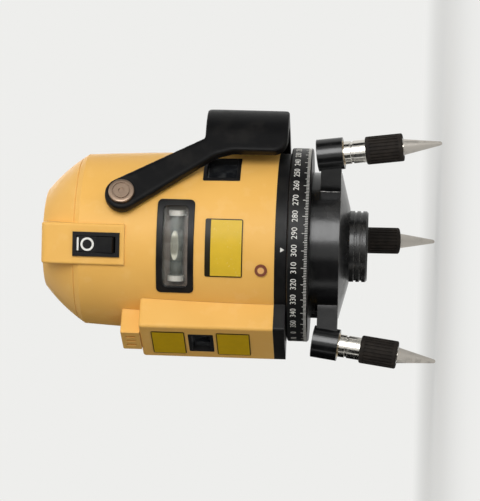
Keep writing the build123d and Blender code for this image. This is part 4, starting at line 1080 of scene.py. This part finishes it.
# %% Floor and light
PALE = colour(238, 238, 236)
floor_level = cad_box[0].z - 0.1 * MM
fresh()
bpy.ops.mesh.primitive_circle_add(vertices=96, radius=3.0, fill_type="NGON", location=(0, 0, floor_level))
floor = bpy.context.object
floor.name = "floor"
floor_finish = Finish("floor_pale")
floor_finish.feed({"Base Color": colour(226, 226, 224), "Roughness": 0.9, "Specular IOR Level": 0.1})
reach = floor_finish.node("ShaderNodeVectorMath", {"operation": "LENGTH"}, {0: floor_finish.place}, "Value")
far = 0.45 + 0.55 * reach.above(0.36, 0.28)
glow = floor_finish.node("ShaderNodeEmission", None, {"Color": PALE, "Strength": 1.0})
seen = floor_finish.node("ShaderNodeLightPath", output="Is Camera Ray")
glossy = floor_finish.node("ShaderNodeLightPath", output="Is Glossy Ray")
through = floor_finish.node("ShaderNodeLightPath", output="Is Transmission Ray")
share = far * seen.most(glossy).most(through)
surface = Value(floor_finish, floor_finish.shader.outputs[0])
blend = floor_finish.node("ShaderNodeMixShader", None, {0: share, 1: surface, 2: glow})
output = floor_finish.tree.nodes["Material Output"]
floor_finish.set(output.inputs["Surface"], blend)
floor.data.materials.append(floor_finish.material)

world = bpy.data.worlds.new("studio")
bpy.context.scene.world = world
world.use_nodes = True
sky = world.node_tree
paths = sky.nodes.new("ShaderNodeLightPath")
pick = sky.nodes.new("ShaderNodeMath")
pick.operation = "MAXIMUM"
both = sky.nodes.new("ShaderNodeMath")
both.operation = "MAXIMUM"
lit = sky.nodes.new("ShaderNodeMath")
lit.operation = "MULTIPLY_ADD"
background = sky.nodes["Background"]
background.inputs["Color"].default_value = PALE
room_light = 0.36
lit.inputs[1].default_value = 1 - room_light
lit.inputs[2].default_value = room_light
sky.links.new(paths.outputs["Is Camera Ray"], pick.inputs[0])
sky.links.new(paths.outputs["Is Glossy Ray"], pick.inputs[1])
sky.links.new(pick.outputs[0], both.inputs[0])
sky.links.new(paths.outputs["Is Transmission Ray"], both.inputs[1])
sky.links.new(both.outputs[0], lit.inputs[0])
sky.links.new(lit.outputs[0], background.inputs["Strength"])

target = (cad_box[0] + cad_box[1]) / 2


def lamp(name, azimuth, elevation, distance, size, power):
    """A square soft lamp that looks at the level."""
    fresh()
    rise = UP * sin(radians(elevation))
    way = outwards(azimuth) * cos(radians(elevation)) + rise
    bpy.ops.object.light_add(type="AREA", location=target + way * distance)
    light = bpy.context.object
    light.name = name
    light.rotation_euler = way.to_track_quat("Z", "Y").to_euler()
    light.data.size = size
    light.data.energy = power
    print(name, "at azimuth", azimuth)


lamp("key_lamp", azimuth=86, elevation=6, distance=1.1, size=0.62, power=8.6)
lamp("top_lamp", azimuth=120, elevation=60, distance=1.0, size=0.8, power=1.8)
lamp("back_lamp", azimuth=235, elevation=25, distance=1.2, size=0.9, power=4.6)

# %% [markdown]
# ## Dark cards
#
# In an all-white room black plastic turns grey and polished metal loses its shape. Photographers stand
# dark cards beside such things, just out of the picture. Four cards do that here: only mirror-like
# reflections see them, so they neither show in the picture nor take light away.

# %% Dark cards
card_finish = Finish("card_black")
card_black = card_finish.feed({"Base Color": colour(8, 8, 8), "Roughness": 1.0, "Specular IOR Level": 0.0})
card_distance = 0.8
card_height = 1.2


def dark_card(name, azimuth, width):
    """A card that faces the level and is seen by reflections alone."""
    fresh()
    bpy.ops.mesh.primitive_plane_add(size=1)
    card = bpy.context.object
    card.name = name
    way = outwards(azimuth)
    size = Matrix.Diagonal((width, card_height, 1, 1))
    card.matrix_world = axes_matrix(UP.cross(way), UP, way, target + way * card_distance) @ size
    card.visible_camera = False
    card.visible_diffuse = False
    card.visible_transmission = False
    card.visible_shadow = False
    card.data.materials.append(card_black)
    print(name, "at azimuth", azimuth)


dark_card("front_card", azimuth=25, width=0.55)
dark_card("low_card", azimuth=325, width=1.0)
dark_card("side_card", azimuth=140, width=0.45)
dark_card("back_card", azimuth=275, width=0.55)

# %% [markdown]
# ## Camera
#
# The level lies on its side before the camera, so the camera is rolled a quarter turn: up on the level
# is left in the picture, and the feet point right. A long lens from over a metre away keeps the lines
# almost parallel.

# %% Camera
view_azimuth = 63.5
view_distance = 1.3
view_height = -5 * MM
tilt = radians(1.7)
spot = outwards(view_azimuth) * view_distance + UP * view_height
back = (spot - target).normalized()
level_right = (-UP - back * (-UP).dot(back)).normalized()
level_up = back.cross(level_right)
right = level_right * cos(tilt) + level_up * sin(tilt)
upright = level_up * cos(tilt) - level_right * sin(tilt)
fresh()
bpy.ops.object.camera_add()
camera = bpy.context.object
camera.matrix_world = axes_matrix(right, upright, back, spot)
camera.data.lens = 170
camera.data.sensor_width = 36
camera.data.clip_start = 0.01
bpy.context.scene.camera = camera
bpy.context.scene.view_settings.view_transform = "Standard"
print("camera at", [round(part, 3) for part in spot])
